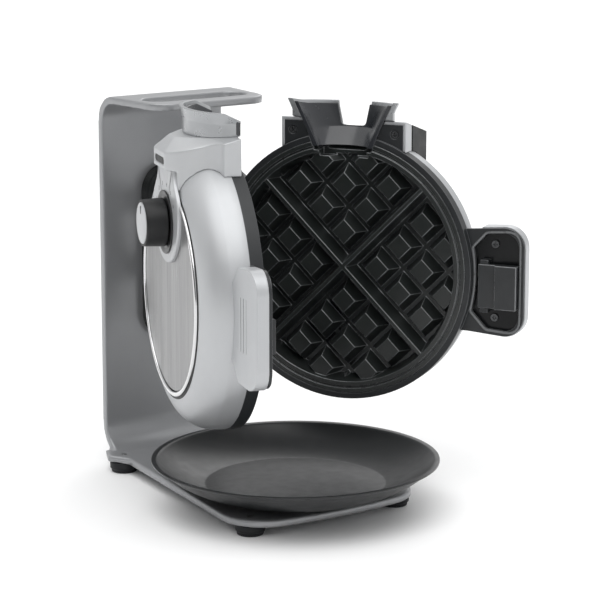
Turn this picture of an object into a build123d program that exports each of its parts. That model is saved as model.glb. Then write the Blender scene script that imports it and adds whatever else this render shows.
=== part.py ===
from build123d import *
from math import cos, hypot, radians, sin, tan
import os

# Vertical waffle maker: a bent stand, a catch tray and an iron whose two halves open like a book
# Millimetres and degrees. x = 0 is the stand's middle, the front is -y, z = 0 is the worktop
right, left = 1, -1
side_name = {right: "right", left: "left"}

# Stand: one sheet bent to a C that opens to the front
sheet = 5.5
stand_width = 108.0
stand_height = 288.0
panel_y = 179.5
top_bend = 20.0
bottom_bend = 26.0
shelf_depth = 75.2
shelf_front_half = 48.5
shelf_corner = 18.0
slot_length = 88.0
slot_width = 26.0
slot_y = 133.0
base_front_y = -60.7
base_bow = 9.0
base_front_half = 82.3
base_corner = 33.0
base_rear_half = 56.6
ear_half = 65.4
ear_y = 158.0
ear_front_y = 142.0

# Feet and their screws
foot_height = 7.9
foot_radius = 10.7
foot_draft = 1.2
front_foot_inset = 18.9
front_foot_setback = 25.1
rear_foot_inset = 3.7
rear_foot_setback = 24.0
front_foot = (base_front_half - front_foot_inset, base_front_y + front_foot_setback)
rear_foot = (base_rear_half - rear_foot_inset, panel_y - rear_foot_setback)
foot_screw_radius = 2.0
foot_screw_head = 4.2
foot_screw_head_height = 2.6

# Catch tray on the base
tray_radius = 105.0
tray_rim_z = 37.9
tray_wall = 3.0
tray_flat_radius = 66.0
tray_foot_radius = 57.0
tray_foot_width = 5.0
tray_foot_height = 2.5
tray_lip = 4.0
tray_lip_slope = 0.6
tray_bulge = 2.5

# Hinge bracket on the panel, with lugs for the upright pin
hinge_standoff = 24.85
bracket_width = 40.0
bracket_height = 135.0
bracket_depth = 13.0
bracket_round = 3.5
pin_radius = 4.0
pin_seat_gap = 0.02
pin_running_gap = 0.06
pin_head_radius = 6.5
pin_head_height = 2.4
knuckle_radius = 9.0
knuckle_height = 20.0
lug_height = 11.0
axial_gap = 0.3
bracket_screw_radius = 2.5
bracket_screw_head = 4.5
bracket_screw_head_height = 2.8
bracket_screw_inset = 14.0

# Iron: where each half stands, and how far it is open
open_angle = {right: 33.4, left: 17.6}
hinge_to_disc = 132.0
disc_z = 163.4
disc_radius = 101.0
parting_gap = 0.4
seat_gap = 0.1
wall = 2.4

# Inner frame of a half: ring, ears, handle tub and hinge arms
frame_depth = 9.6
ledge_width = 5.7
ledge_thickness = 3.5
ear_plate_half = 46.9
ear_plate_rise = 7.8
ear_plate_top = disc_radius + ear_plate_rise
ear_plate_out = 2.4
ear_plate_thickness = 6.0
arm_inner_out = 1.0
arm_outer_out = 9.5
sector_width = 8.0
sector_half_angle = 38.0

# Cooking plate
bezel_width = 4.5
plate_rim_width = 8.5
cavity_draft = 4.0
plate_radius = disc_radius - bezel_width
cavity_radius = plate_radius - plate_rim_width
cavity_floor_radius = cavity_radius - cavity_draft
cavity_floor_out = 14.5
plate_back_out = 18.5
rim_groove_inset = 5.0
rim_groove_radius = plate_radius - rim_groove_inset
rim_groove_width = 1.6
rim_groove_depth = 1.2
stud_pitch = 25.1
first_stud = 18.5
stud_base = 22.0
stud_top = 13.2
stud_height = 10.5
ridge_base = 9.6
ridge_top = 3.0
ridge_height = 13.2
inlet_half = 19.0

# Heating element and reflector behind the plate
element_radius = 60.0
element_tube = 3.3
element_arc = 330.0
reflector_inset = 2.0
reflector_radius = cavity_radius - reflector_inset
reflector_out = 28.0
reflector_sheet = 0.8

# Outer shell and its steel insert
crease_out = 23.0
crease_inset = 1.4
crease_radius = disc_radius - crease_inset
straight_out = 14.0
shoulder_inset = 23.0
rim_radius = disc_radius - shoulder_inset
shell_face_out = 41.5
shell_bulge = 4.0
insert_lip = 2.4
insert_radius = rim_radius - insert_lip
insert_gap = 0.3
insert_seat_out = 39.5
insert_seat_width = 6.0
insert_thickness = 2.8
insert_round = 1.8

# Head cover on top of each half: its top slopes down to a nose, and is crowned on the left
head_half = 49.3
head_start_out = 2.4
head_side_out = 15.0
nose_half = 15.5
nose_out = 49.0
nose_round = 5.0
head_skirt = 24.6
nose_rise = 13.6
head_rise = {right: 11.2, left: 14.2}
head_low = disc_radius - head_skirt
nose_low = head_low + nose_rise
head_top = {side: disc_radius + rise for side, rise in head_rise.items()}
head_slope = 15.1
waist_half = 35.0
waist_out = 28.0
waist_hollow = 2.8
shoulder_bulge = 3.0
crown_slope = 4.5
crown_half = 37.0
crown_nose_half = 8.0
crown_nose_out = 40.0
crown_lap = 0.4
crown_bow = 0.2
window_half = 13.0
window_height = 4.6
window_rise = 5.6
window_w = nose_low + window_rise
window_depth = 1.2
lamp_radius = 1.6
lamp_spacing = 9.0
lamp_length = 6.0

# Filling funnel: a dark liner and a bright collar in each half
funnel_sink = 5.9
throat_height = 12.4
hopper_height = 22.5
funnel_low = plate_radius - funnel_sink
funnel_knee = funnel_low + throat_height
funnel_top = funnel_knee + hopper_height
funnel_low_half = 19.4
funnel_knee_half = 25.6
funnel_top_half = 36.6
funnel_low_depth = 11.5
funnel_knee_depth = 25.0
funnel_top_depth = 25.8
liner_wall = 3.0
collar_half = 40.0
collar_depth = 30.2
collar_flare = 4.0
crease_drop = {right: 8.5, left: 2.0}
shoulder_rise = {right: -2.5, left: 5.9}
back_rise = {right: -4.7, left: 6.9}
collar_crease = {side: funnel_top - drop for side, drop in crease_drop.items()}
rim_edge_w = funnel_top
rim_shoulder_w = {side: funnel_top + rise for side, rise in shoulder_rise.items()}
rim_back_w = {side: funnel_top + rise for side, rise in back_rise.items()}
rim_shoulder_out = 12.0
rim_step = 2.2
notch_sink = 0.2
notch_low = funnel_knee - notch_sink
notch_out = 29.0
notch_low_half = 9.6
notch_top_half = 14.5
notch_round = 3.0

# Handles
handle_lap = 4.0
handle_length = 43.6
handle_start = disc_radius - handle_lap
handle_end = handle_start + handle_length
handle_w = -3.8
handle_start_half = 39.2
handle_end_half = 42.6
handle_corner = 16.0
handle_thick_inner_out = 23.2
handle_thick_outer_out = 18.0
handle_shoulder_half = 27.0
handle_shoulder = 12.0
handle_shoulder_u = handle_start + handle_shoulder
tub_lip_out = 7.2
tub_floor_out = 12.0
tub_wall = 2.0
grip_grooves = 3
groove_inset = 14.5
groove_first_u = handle_start + groove_inset
groove_pitch = 4.9
groove_width = 1.3
groove_depth = 0.8
groove_low = -21.0
groove_high = 17.0

# Control panel, dial and knob on the left half
dial_w = 50.5
panel_half = 36.0
panel_belly_w = 60.0
panel_tip_w = 21.5
panel_neck_half = 20.5
panel_thickness = 2.7
dial_ring_radius = 22.7
dial_ring_thickness = 1.2
knob_radius = 16.6
knob_length = 15.6
knob_gap = 0.4
knob_round = 1.2
knob_skirt = 0.8
knob_cap_radius = 14.8
knob_cap_thickness = 0.8
shaft_radius = 3.0
shaft_clearance = 0.5
thermostat_radius = 14.0
thermostat_length = 9.0

# Latch lever in the right handle, keeper in the left
latch_w = -7.2
latch_half = 16.4
latch_inset = 8.4
latch_step_length = 13.3
latch_length = 30.0
latch_start = handle_start + latch_inset
latch_step = latch_start + latch_step_length
latch_end = latch_start + latch_length
latch_front_out = 1.5
latch_step_out = 4.5
latch_back_out = 9.4
latch_pin_inset = 4.6
latch_pin_u = latch_start + latch_pin_inset
latch_pin_out = 8.0
latch_pin_radius = 1.5
latch_lug = 3.0
keeper_inset = 2.3
keeper_length = 13.0
keeper_start = latch_step + keeper_inset
keeper_end = keeper_start + keeper_length
keeper_half = 12.0
keeper_front_out = 3.0

# Screws in the ears and handles
screw_radius = 1.4
screw_head = 3.0
screw_head_height = 1.6
screw_recess = 0.3
ear_screw_u = 40.3
ear_screw_drop = 7.3
handle_screw_inset = 19.6
ear_screw_w = ear_plate_top - ear_screw_drop
handle_screw_u = handle_start + handle_screw_inset
handle_screw_w = 27.5
boss_radius = 3.6

# Cord housing that fills the flank of the right head
housing_start_out = 17.0
housing_end_out = 52.0
housing_inner_u = 6.0
housing_lap = 0.4
housing_low = head_low - housing_lap
housing_round = 4.0
cord_bore_radius = 4.0
cord_bore_length = 14.0
cord_bore_u = 36.0
cord_bore_rise = 16.0
cord_bore_w = housing_low + cord_bore_rise

# Sizes that follow from the ones above
base_top = foot_height + sheet
shelf_front_y = panel_y - shelf_depth
hinge_y = panel_y - hinge_standoff
shelf_under = stand_height - sheet
plate_seat_radius = plate_radius + 0.2
ledge_out = frame_depth - ledge_thickness
insert_face_out = insert_seat_out + insert_thickness
panel_face_out = insert_face_out + panel_thickness
ring_face_out = panel_face_out + dial_ring_thickness
knob_back_out = ring_face_out + knob_gap
knob_face_out = knob_back_out + knob_length
stack_height = 3 * lug_height + 4 * knuckle_height + 6 * axial_gap
stack_low = disc_z - stack_height / 2
window_back_out = nose_out - wall

os.makedirs("parts", exist_ok=True)


# Write one labelled piece to its own file
def save(piece, node):
    piece.part.label = node
    export_step(piece.part, f"parts/{node}.step")


# Direction from the hinge pin to the handle of one half
def toward_handle(side):
    angle = radians(open_angle[side])
    return Vector(side * sin(angle), -cos(angle), 0)


# Direction out of one half, square to its parting face
def outward(side):
    angle = radians(open_angle[side])
    return Vector(side * cos(angle), sin(angle), 0)


# A point of one half: u towards the handle, out from the parting face, w up, from the disc's centre
def half_point(side, u=0.0, out=0.0, w=0.0):
    hinge = Vector(0, hinge_y, disc_z + w)
    return hinge + toward_handle(side) * (hinge_to_disc + u) + outward(side) * out


# Plane parallel to the parting face: its x is u and its y is w
def face_plane(side, out):
    return Plane(half_point(side, out=out), x_dir=toward_handle(side), z_dir=outward(side) * -side)


# Level plane: its x is u and its y is out
def level_plane(side, w):
    return Plane(half_point(side, w=w), x_dir=toward_handle(side), z_dir=(0, 0, side))


# Upright plane through the disc's axis: its x is the radius and its y is out
def section_plane(side):
    return Plane(half_point(side), x_dir=(0, 0, 1), z_dir=toward_handle(side) * -side)


def disc_axis(side):
    return Axis(half_point(side), outward(side))


# Middle point of a shallow arc from one point to another, pushed to the left of the chord
def arc_middle(start, end, bulge):
    length = hypot(end[0] - start[0], end[1] - start[1])
    across = (-(end[1] - start[1]) / length, (end[0] - start[0]) / length)
    return ((start[0] + end[0]) / 2 + across[0] * bulge, (start[1] + end[1]) / 2 + across[1] * bulge)


# Heights of the hinge stack from its foot: lug, right, left, lug, right, left, lug
def stack_level(index):
    heights = [lug_height, knuckle_height, knuckle_height] * 2
    return stack_low + sum(heights[:index]) + index * axial_gap


# Plan of the panel with its shelf, and of the base, as closed sketches
def upper_outline():
    with BuildSketch() as outline:
        with BuildLine():
            Polyline(
                (stand_width / 2, panel_y + sheet),
                (stand_width / 2, panel_y + sheet - top_bend),
                (shelf_front_half, shelf_front_y),
                (-shelf_front_half, shelf_front_y),
                (-stand_width / 2, panel_y + sheet - top_bend),
                (-stand_width / 2, panel_y + sheet),
                close=True,
            )
        make_face()
        fillet(outline.vertices().group_by(Axis.Y)[0], radius=shelf_corner)
    return outline.sketch


def base_outline():
    corner_y = base_front_y + base_bow
    with BuildSketch() as outline:
        with BuildLine():
            Polyline(
                (-base_front_half, corner_y),
                (-base_rear_half, ear_front_y),
                (-ear_half, ear_y),
                (-stand_width / 2, panel_y + sheet),
                (stand_width / 2, panel_y + sheet),
                (ear_half, ear_y),
                (base_rear_half, ear_front_y),
                (base_front_half, corner_y),
            )
            ThreePointArc((base_front_half, corner_y), (0, base_front_y), (-base_front_half, corner_y))
        make_face()
        fillet(outline.vertices().filter_by(lambda v: abs(v.Y - corner_y) < 0.01), radius=base_corner)
        fillet(outline.vertices().filter_by(lambda v: abs(v.Y - ear_y) < 0.01), radius=2.5)
    return outline.sketch


# The sheet's side view, which the plans then trim
def make_stand():
    reach = base_front_half + ear_half
    with BuildPart() as envelope:
        with BuildSketch():
            add(base_outline())
        extrude(amount=base_top)
        with BuildSketch(Plane.XY.offset(base_top)):
            add(upper_outline())
        extrude(amount=stand_height - base_top)
    with BuildPart() as stand:
        with BuildSketch(Plane.YZ):
            with BuildLine():
                FilletPolyline(
                    (base_front_y, foot_height),
                    (panel_y + sheet, foot_height),
                    (panel_y + sheet, stand_height),
                    (shelf_front_y, stand_height),
                    radius=[bottom_bend, top_bend],
                )
                FilletPolyline(
                    (base_front_y, base_top),
                    (panel_y, base_top),
                    (panel_y, shelf_under),
                    (shelf_front_y, shelf_under),
                    radius=[bottom_bend - sheet, top_bend - sheet],
                )
                Line((base_front_y, foot_height), (base_front_y, base_top))
                Line((shelf_front_y, shelf_under), (shelf_front_y, stand_height))
            make_face()
        extrude(amount=reach, both=True)
        add(envelope.part, mode=Mode.INTERSECT)
        # finger slot in the shelf, by which the stand is carried
        with BuildSketch(Plane.XY.offset(shelf_under)):
            with Locations((0, slot_y)):
                SlotOverall(slot_length, slot_width)
        extrude(amount=sheet, mode=Mode.SUBTRACT)
        # screw holes for the feet and the bracket
        with BuildSketch(Plane.XY.offset(foot_height)):
            with Locations(*foot_places()):
                Circle(foot_screw_radius)
        extrude(amount=sheet, mode=Mode.SUBTRACT)
        with BuildSketch(Plane.XZ.offset(-panel_y)):
            with Locations(*bracket_screw_places()):
                Circle(bracket_screw_radius)
        extrude(amount=-sheet, mode=Mode.SUBTRACT)
    return stand


def foot_places():
    return [(side * place[0], place[1]) for place in (front_foot, rear_foot) for side in (left, right)]


def bracket_screw_places():
    reach = bracket_height / 2 - bracket_screw_inset
    return [(0, disc_z + reach * step) for step in (-1, 1)]


def make_foot(place):
    with BuildPart() as foot:
        with BuildSketch(Plane.XY) as sole:
            with Locations(place):
                Circle(foot_radius - foot_draft)
        with BuildSketch(Plane.XY.offset(foot_height)) as seat:
            with Locations(place):
                Circle(foot_radius)
        loft()
        with BuildSketch(Plane.XY):
            with Locations(place):
                Circle(foot_screw_head + 0.5)
        extrude(amount=foot_screw_head_height + 1, mode=Mode.SUBTRACT)
        with BuildSketch(Plane.XY):
            with Locations(place):
                Circle(foot_screw_radius)
        extrude(amount=foot_height, mode=Mode.SUBTRACT)
    return foot


def make_foot_screws():
    with BuildPart() as screws:
        with BuildSketch(Plane.XY.offset(1)):
            with Locations(*foot_places()):
                Circle(foot_screw_head)
        extrude(amount=foot_screw_head_height)
        with BuildSketch(Plane.XY.offset(1 + foot_screw_head_height)):
            with Locations(*foot_places()):
                Circle(foot_screw_radius)
        extrude(amount=base_top - foot_screw_head_height - 1)
    return screws


def make_tray():
    under = base_top + tray_foot_height
    with BuildPart() as tray:
        with BuildSketch(Plane.XZ):
            with BuildLine():
                Polyline(
                    (0, under + tray_wall),
                    (0, under),
                    (tray_foot_radius - tray_foot_width, under),
                    (tray_foot_radius - tray_foot_width, base_top),
                    (tray_foot_radius, base_top),
                    (tray_foot_radius, under),
                    (tray_flat_radius, under),
                )
                rise = tray_rim_z - tray_wall
                ThreePointArc(
                    (tray_flat_radius, under),
                    arc_middle((tray_flat_radius, under), (tray_radius - tray_lip, rise), -tray_bulge),
                    (tray_radius - tray_lip, rise),
                )
                Polyline(
                    (tray_radius - tray_lip, rise),
                    (tray_radius, rise + tray_wall / 2),
                    (tray_radius, tray_rim_z),
                    (tray_radius - tray_lip, tray_rim_z - tray_lip_slope),
                )
                lip = (tray_radius - tray_lip, tray_rim_z - tray_lip_slope)
                flat = (tray_flat_radius, under + tray_wall)
                ThreePointArc(lip, arc_middle(lip, flat, tray_bulge), flat)
                Line(flat, (0, under + tray_wall))
            make_face()
        revolve(axis=Axis.Z)
    return tray


# Bracket: an oblong plate with three lugs round the pin
def make_hinge_bracket():
    front_y = panel_y - bracket_depth
    with BuildPart() as bracket:
        with BuildSketch(Plane.XZ.offset(-panel_y)):
            with Locations((0, disc_z)):
                SlotOverall(bracket_height, bracket_width, rotation=90)
        extrude(amount=bracket_depth)
        fillet(bracket.faces().sort_by(Axis.Y)[0].edges(), radius=bracket_round)
        for index in (0, 3, 6):
            with BuildSketch(Plane.XY.offset(stack_level(index))):
                with Locations((0, hinge_y)):
                    Circle(knuckle_radius)
                with Locations((0, (hinge_y + front_y + 1) / 2)):
                    Rectangle(2 * knuckle_radius, front_y + 1 - hinge_y)
            extrude(amount=lug_height)
        with BuildSketch(Plane.XY.offset(stack_low)):
            with Locations((0, hinge_y)):
                Circle(pin_radius + pin_seat_gap)
        extrude(amount=stack_height, mode=Mode.SUBTRACT)
        with BuildSketch(Plane.XZ.offset(-front_y)):
            with Locations(*bracket_screw_places()):
                Circle(bracket_screw_head + 0.3)
        extrude(amount=-bracket_screw_head_height - 1, mode=Mode.SUBTRACT)
        with BuildSketch(Plane.XZ.offset(-front_y)):
            with Locations(*bracket_screw_places()):
                Circle(bracket_screw_radius)
        extrude(amount=-bracket_depth, mode=Mode.SUBTRACT)
    return bracket


def make_bracket_screws():
    seat_y = panel_y - bracket_depth + bracket_screw_head_height + 1
    with BuildPart() as screws:
        with BuildSketch(Plane.XZ.offset(-seat_y)):
            with Locations(*bracket_screw_places()):
                Circle(bracket_screw_head)
        extrude(amount=bracket_screw_head_height)
        with BuildSketch(Plane.XZ.offset(-seat_y)):
            with Locations(*bracket_screw_places()):
                Circle(bracket_screw_radius)
        extrude(amount=-(panel_y + sheet - seat_y))
    return screws


def make_hinge_pin():
    with BuildPart() as pin:
        for low, height, radius in (
            (stack_low - pin_head_height, pin_head_height, pin_head_radius),
            (stack_low, stack_height, pin_radius),
            (stack_low + stack_height, pin_head_height, pin_head_radius),
        ):
            with BuildSketch(Plane.XY.offset(low)):
                with Locations((0, hinge_y)):
                    Circle(radius)
            extrude(amount=height)
    return pin


# Outer form of a closed half without head and handle, grown by a gap, to cut neighbours with
def disc_form(side, gap):
    with BuildPart() as form:
        with BuildSketch(section_plane(side)):
            with BuildLine():
                crease = (crease_radius + gap, crease_out)
                shoulder = (rim_radius + gap, shell_face_out + gap)
                Polyline(shoulder, (0, shell_face_out + gap), (0, 0), (disc_radius + gap, 0),
                         (disc_radius + gap, straight_out), crease)
                ThreePointArc(crease, arc_middle(crease, shoulder, -shell_bulge), shoulder)
            make_face()
        revolve(axis=disc_axis(side))
    return form.part


# Half an ellipse on a level, whose straight side lies on the parting face
def half_ellipse(side, w, half, depth):
    with BuildSketch(level_plane(side, w)) as section:
        Ellipse(half, depth)
        with Locations((0, -depth)):
            Rectangle(4 * half, 2 * depth, mode=Mode.SUBTRACT)
    return section.sketch


# The funnel's passage, grown all round by a gap, with its walls carried on above the rim
def funnel_form(side, gap):
    over = max(rim_back_w.values()) + 2 - funnel_top
    rise = funnel_top - funnel_knee
    top_half = funnel_top_half + (funnel_top_half - funnel_knee_half) * over / rise
    top_depth = funnel_top_depth + (funnel_top_depth - funnel_knee_depth) * over / rise
    sections = (
        (funnel_low - gap, funnel_low_half, funnel_low_depth),
        (funnel_knee, funnel_knee_half, funnel_knee_depth),
        (funnel_top + over, top_half, top_depth),
    )
    with BuildPart() as form:
        for w, half, depth in sections:
            add(half_ellipse(side, w, half + gap, depth + gap))
        loft(ruled=True)
    return form.part


# Everything above the funnel's rim, lowered by a distance; the rim is level from side to side
def above_rim(side, lower):
    high = max(rim_back_w.values()) + 10
    edge = (0, rim_edge_w - lower)
    shoulder = (rim_shoulder_out, rim_shoulder_w[side] - lower)
    back = (nose_out, rim_back_w[side] - lower)
    with BuildPart() as form:
        with BuildSketch(section_plane(side)):
            with BuildLine():
                Polyline((edge[1], -1), (edge[1], edge[0]), (shoulder[1], shoulder[0]), (back[1], back[0]),
                         (high, back[0]), (high, -1), close=True)
            make_face()
        extrude(amount=2 * collar_half, both=True)
    return form.part


# Sloping plane of the head's top, lowered by a distance
def slope_plane(side, lower):
    angle = radians(head_slope)
    normal = outward(side) * sin(angle) + Vector(0, 0, cos(angle))
    origin = half_point(side, w=head_top[side]) - normal * lower
    return Plane(origin, x_dir=toward_handle(side), z_dir=normal)


# Plane of the crown's flatter top, which meets the slope at the parting face
def crown_plane(side):
    angle = radians(crown_slope)
    normal = outward(side) * sin(angle) + Vector(0, 0, cos(angle))
    return Plane(half_point(side, w=head_top[side]), x_dir=toward_handle(side), z_dir=normal)


# Stretch that turns a distance outwards into the second direction of a sloping plane
def out_stretch(side, plane, slope):
    sign = 1 if plane.y_dir.dot(outward(side)) > 0 else -1
    return sign / cos(radians(slope))


# Outline of the head as a sketch whose y runs outwards, from three points of its flank
def flank_outline(stretch, side_point, waist, tip, hollow, bulge, corner):
    back = (side_point[0], head_start_out)
    # the flank runs in to a waist, hollow, and on to the nose, bulging
    arcs = (
        (side_point, arc_middle(side_point, waist, hollow), waist),
        (waist, arc_middle(waist, tip, -bulge), tip),
    )
    with BuildSketch() as outline:
        with BuildLine():
            for step in (-1, 1):
                Line((step * back[0], stretch * back[1]), (step * side_point[0], stretch * side_point[1]))
                for arc in arcs:
                    ThreePointArc(*[(step * x, stretch * y) for x, y in arc])
            Line((-tip[0], stretch * tip[1]), (tip[0], stretch * tip[1]))
            Line((-back[0], stretch * back[1]), (back[0], stretch * back[1]))
        make_face()
        fillet(outline.vertices().sort_by(lambda v: v.Y * stretch)[-2:], radius=corner)
    return outline.sketch


def head_outline(stretch, lap):
    side_point = (head_half + lap, head_side_out)
    waist = (waist_half + lap, waist_out + lap)
    tip = (nose_half + lap, nose_out + lap)
    return flank_outline(stretch, side_point, waist, tip, waist_hollow, shoulder_bulge, nose_round)


def crown_outline(stretch):
    side_point = (crown_half, head_side_out)
    tip = (crown_nose_half, crown_nose_out)
    waist = ((side_point[0] + tip[0]) / 2, (side_point[1] + tip[1]) / 2)
    return flank_outline(stretch, side_point, waist, tip, crown_bow, crown_bow, nose_round / 2)


# Everything above the head's sloping top, lowered by a distance, less its crown
def above_head(side, lower, crowned):
    with BuildPart() as above:
        with BuildSketch(slope_plane(side, lower)):
            Rectangle(4 * head_half, 4 * head_half)
        extrude(amount=head_half)
        if crowned:
            add(head_crown(side), mode=Mode.SUBTRACT)
    return above.part


# Solid with the head's level outline, drawn in by an inset and cut off at its top
def head_form(side, inset, lower, crowned=False):
    low = head_low - inset
    with BuildPart() as form:
        with BuildSketch(level_plane(side, low)):
            add(head_outline(1, 0))
            if inset > 0:
                offset(amount=-inset, kind=Kind.INTERSECTION)
        extrude(amount=head_top[side] + 1 - low, dir=(0, 0, 1))
        add(above_head(side, lower, crowned), mode=Mode.SUBTRACT)
        # below the nose the cover lies in the plane of the steel insert
        with BuildSketch(face_plane(side, insert_face_out - inset)):
            with Locations((0, nose_low + inset - 2 * head_half)):
                Rectangle(4 * head_half, 4 * head_half)
        extrude(amount=nose_out, dir=outward(side), mode=Mode.SUBTRACT)
    return form.part


# Low crown on the head's top: from just outside the outline on the slope to a narrower, flatter one
def head_crown(side):
    slope, top = slope_plane(side, 0), crown_plane(side)
    with BuildPart() as crown:
        with BuildSketch(slope):
            add(head_outline(out_stretch(side, slope, head_slope), crown_lap))
        with BuildSketch(top):
            add(crown_outline(out_stretch(side, top, crown_slope)))
        loft(ruled=True)
    return crown.part


# Pouring notch in the back of the right funnel, which runs on down the head as a channel
def notch_form(side, gap):
    angle = radians(head_slope)
    down = outward(side) * cos(angle) - Vector(0, 0, sin(angle))
    start = notch_out - 8
    rise = 8 * tan(angle) - gap
    with BuildPart() as notch:
        with BuildSketch(face_plane(side, start)) as outline:
            with BuildLine():
                Polyline(
                    (-notch_low_half - gap, notch_low + rise),
                    (notch_low_half + gap, notch_low + rise),
                    (notch_top_half + gap, rim_edge_w + 4),
                    (-notch_top_half - gap, rim_edge_w + 4),
                    close=True,
                )
            make_face()
            fillet(outline.vertices().group_by(Axis.Z)[0], radius=notch_round)
        extrude(amount=nose_out, dir=down)
    return notch.part


def ear_screw_places():
    return [(-ear_screw_u, ear_screw_w), (ear_screw_u, ear_screw_w)]


def handle_screw_places():
    return [(handle_screw_u, handle_w + step * handle_screw_w) for step in (-1, 1)]


# Outline of the handle, drawn in by an inset
def handle_outline(inset):
    with BuildSketch() as outline:
        with BuildLine():
            Polyline(
                (handle_start - handle_corner, handle_w - handle_start_half),
                (handle_start, handle_w - handle_start_half),
                (handle_end, handle_w - handle_end_half),
                (handle_end, handle_w + handle_end_half),
                (handle_start, handle_w + handle_start_half),
                (handle_start - handle_corner, handle_w + handle_start_half),
                close=True,
            )
        make_face()
        fillet(outline.vertices().group_by(Axis.X)[-1], radius=handle_corner)
        if inset > 0:
            offset(amount=-inset, kind=Kind.INTERSECTION)
    return outline.sketch


# Sketch of the grip's cover, which narrows where it laps over the shell
def grip_outline(inset):
    with BuildSketch() as outline:
        add(handle_outline(0))
        with BuildLine():
            Polyline(
                (handle_start - 2 * handle_corner, handle_w - handle_shoulder_half),
                (handle_start, handle_w - handle_shoulder_half),
                (handle_shoulder_u, handle_w - handle_end_half),
                (handle_end + 1, handle_w - handle_end_half - 1),
                (handle_end + 1, handle_w + handle_end_half + 1),
                (handle_shoulder_u, handle_w + handle_end_half),
                (handle_start, handle_w + handle_shoulder_half),
                (handle_start - 2 * handle_corner, handle_w + handle_shoulder_half),
                close=True,
            )
        make_face(mode=Mode.INTERSECT)
        if inset > 0:
            offset(amount=-inset, kind=Kind.INTERSECTION)
    return outline.sketch


# Sloping plane of the grip's outer face, lowered by a distance
def grip_plane(side, lower):
    angle = (handle_thick_inner_out - handle_thick_outer_out) / (handle_end - handle_start)
    normal = outward(side) + toward_handle(side) * angle
    origin = half_point(side, u=handle_start, out=handle_thick_inner_out) - normal.normalized() * lower
    return Plane(origin, x_dir=(0, 0, 1), z_dir=normal)


# Inner frame: ring with ledge, ears, handle tub, hinge arms and knuckles
def make_frame(side):
    levels = (1, 4) if side == right else (2, 5)
    with BuildPart() as frame:
        # arms from the pin, joined by a curved bar along the disc's edge
        for index in levels:
            low = stack_level(index) - disc_z
            with BuildSketch(level_plane(side, low)):
                with Locations(((arm_reach_u() - hinge_to_disc) / 2, (arm_inner_out + arm_outer_out) / 2)):
                    Rectangle(hinge_to_disc + arm_reach_u(), arm_outer_out - arm_inner_out)
                with Locations((-hinge_to_disc, 0)):
                    Circle(knuckle_radius)
            extrude(amount=knuckle_height, dir=(0, 0, 1))
        with BuildSketch(face_plane(side, arm_inner_out)):
            Circle(disc_radius + sector_width)
            with BuildLine():
                run = 2 * disc_radius
                rise = run * tan(radians(sector_half_angle))
                Polyline((0, 0), (-run, rise), (-run, -rise), close=True)
            make_face(mode=Mode.INTERSECT)
        extrude(amount=frame_depth - arm_inner_out, dir=outward(side))
        with BuildSketch(face_plane(side, 0)):
            Circle(disc_radius - wall)
        extrude(amount=frame_depth + 1, dir=outward(side), mode=Mode.SUBTRACT)
        with BuildSketch(Plane.XY.offset(stack_low)):
            with Locations((0, hinge_y)):
                Circle(pin_radius + pin_running_gap)
        extrude(amount=stack_height, mode=Mode.SUBTRACT)
        # ears behind the head cover
        with BuildSketch(face_plane(side, ear_plate_out)):
            with Locations((0, ear_plate_top / 2)):
                Rectangle(2 * ear_plate_half, ear_plate_top)
            Circle(disc_radius - wall, mode=Mode.SUBTRACT)
        extrude(amount=ear_plate_thickness, dir=outward(side))
        # shallow tub inside the handle, with a lip over the edge of its cover
        with BuildSketch(face_plane(side, tub_lip_out)):
            add(handle_outline(0.8))
            Circle(disc_radius - wall, mode=Mode.SUBTRACT)
        extrude(amount=frame_depth - tub_lip_out, dir=outward(side))
        with BuildSketch(face_plane(side, frame_depth)):
            add(grip_outline(wall + 0.3))
            Circle(disc_radius + 0.3, mode=Mode.SUBTRACT)
        extrude(amount=tub_floor_out + tub_wall - frame_depth, dir=outward(side))
        with BuildSketch(face_plane(side, tub_lip_out)):
            add(grip_outline(wall + 0.3 + tub_wall))
            Circle(disc_radius + tub_wall, mode=Mode.SUBTRACT)
        extrude(amount=tub_floor_out - tub_lip_out, dir=outward(side), mode=Mode.SUBTRACT)
        # ring round the cooking plate
        with BuildSketch(section_plane(side)):
            with BuildLine():
                Polyline(
                    (plate_seat_radius, parting_gap),
                    (disc_radius, parting_gap),
                    (disc_radius, frame_depth),
                    (plate_seat_radius - ledge_width, frame_depth),
                    (plate_seat_radius - ledge_width, ledge_out),
                    (plate_seat_radius, ledge_out),
                    close=True,
                )
            make_face()
        revolve(axis=disc_axis(side))
        # way for the batter, and holes for the screws
        add(funnel_form(side, liner_wall + seat_gap), mode=Mode.SUBTRACT)
        with BuildSketch(face_plane(side, ear_plate_out)):
            with Locations(*ear_screw_places()):
                Circle(screw_radius)
        extrude(amount=ear_plate_thickness, dir=outward(side), mode=Mode.SUBTRACT)
        with BuildSketch(face_plane(side, ear_plate_out)):
            with Locations(*ear_screw_places()):
                Circle(screw_head + 0.3)
        extrude(amount=screw_head_height + screw_recess, dir=outward(side), mode=Mode.SUBTRACT)
        with BuildSketch(face_plane(side, tub_floor_out)):
            with Locations(*handle_screw_places()):
                Circle(screw_radius)
        extrude(amount=tub_wall, dir=outward(side), mode=Mode.SUBTRACT)
        if side == right:
            with BuildSketch(face_plane(side, latch_pin_out - latch_lug)):
                for step in (-1, 1):
                    with Locations((latch_pin_u, latch_w + step * (latch_half + axial_gap + latch_lug / 2))):
                        Rectangle(2 * latch_lug, latch_lug)
            extrude(amount=tub_floor_out - latch_pin_out + latch_lug, dir=outward(side))
            add(latch_pin_form(pin_seat_gap), mode=Mode.SUBTRACT)
    return frame


# How far an arm must reach to meet the bar
def arm_reach_u():
    return -disc_radius * cos(radians(sector_half_angle))


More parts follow.
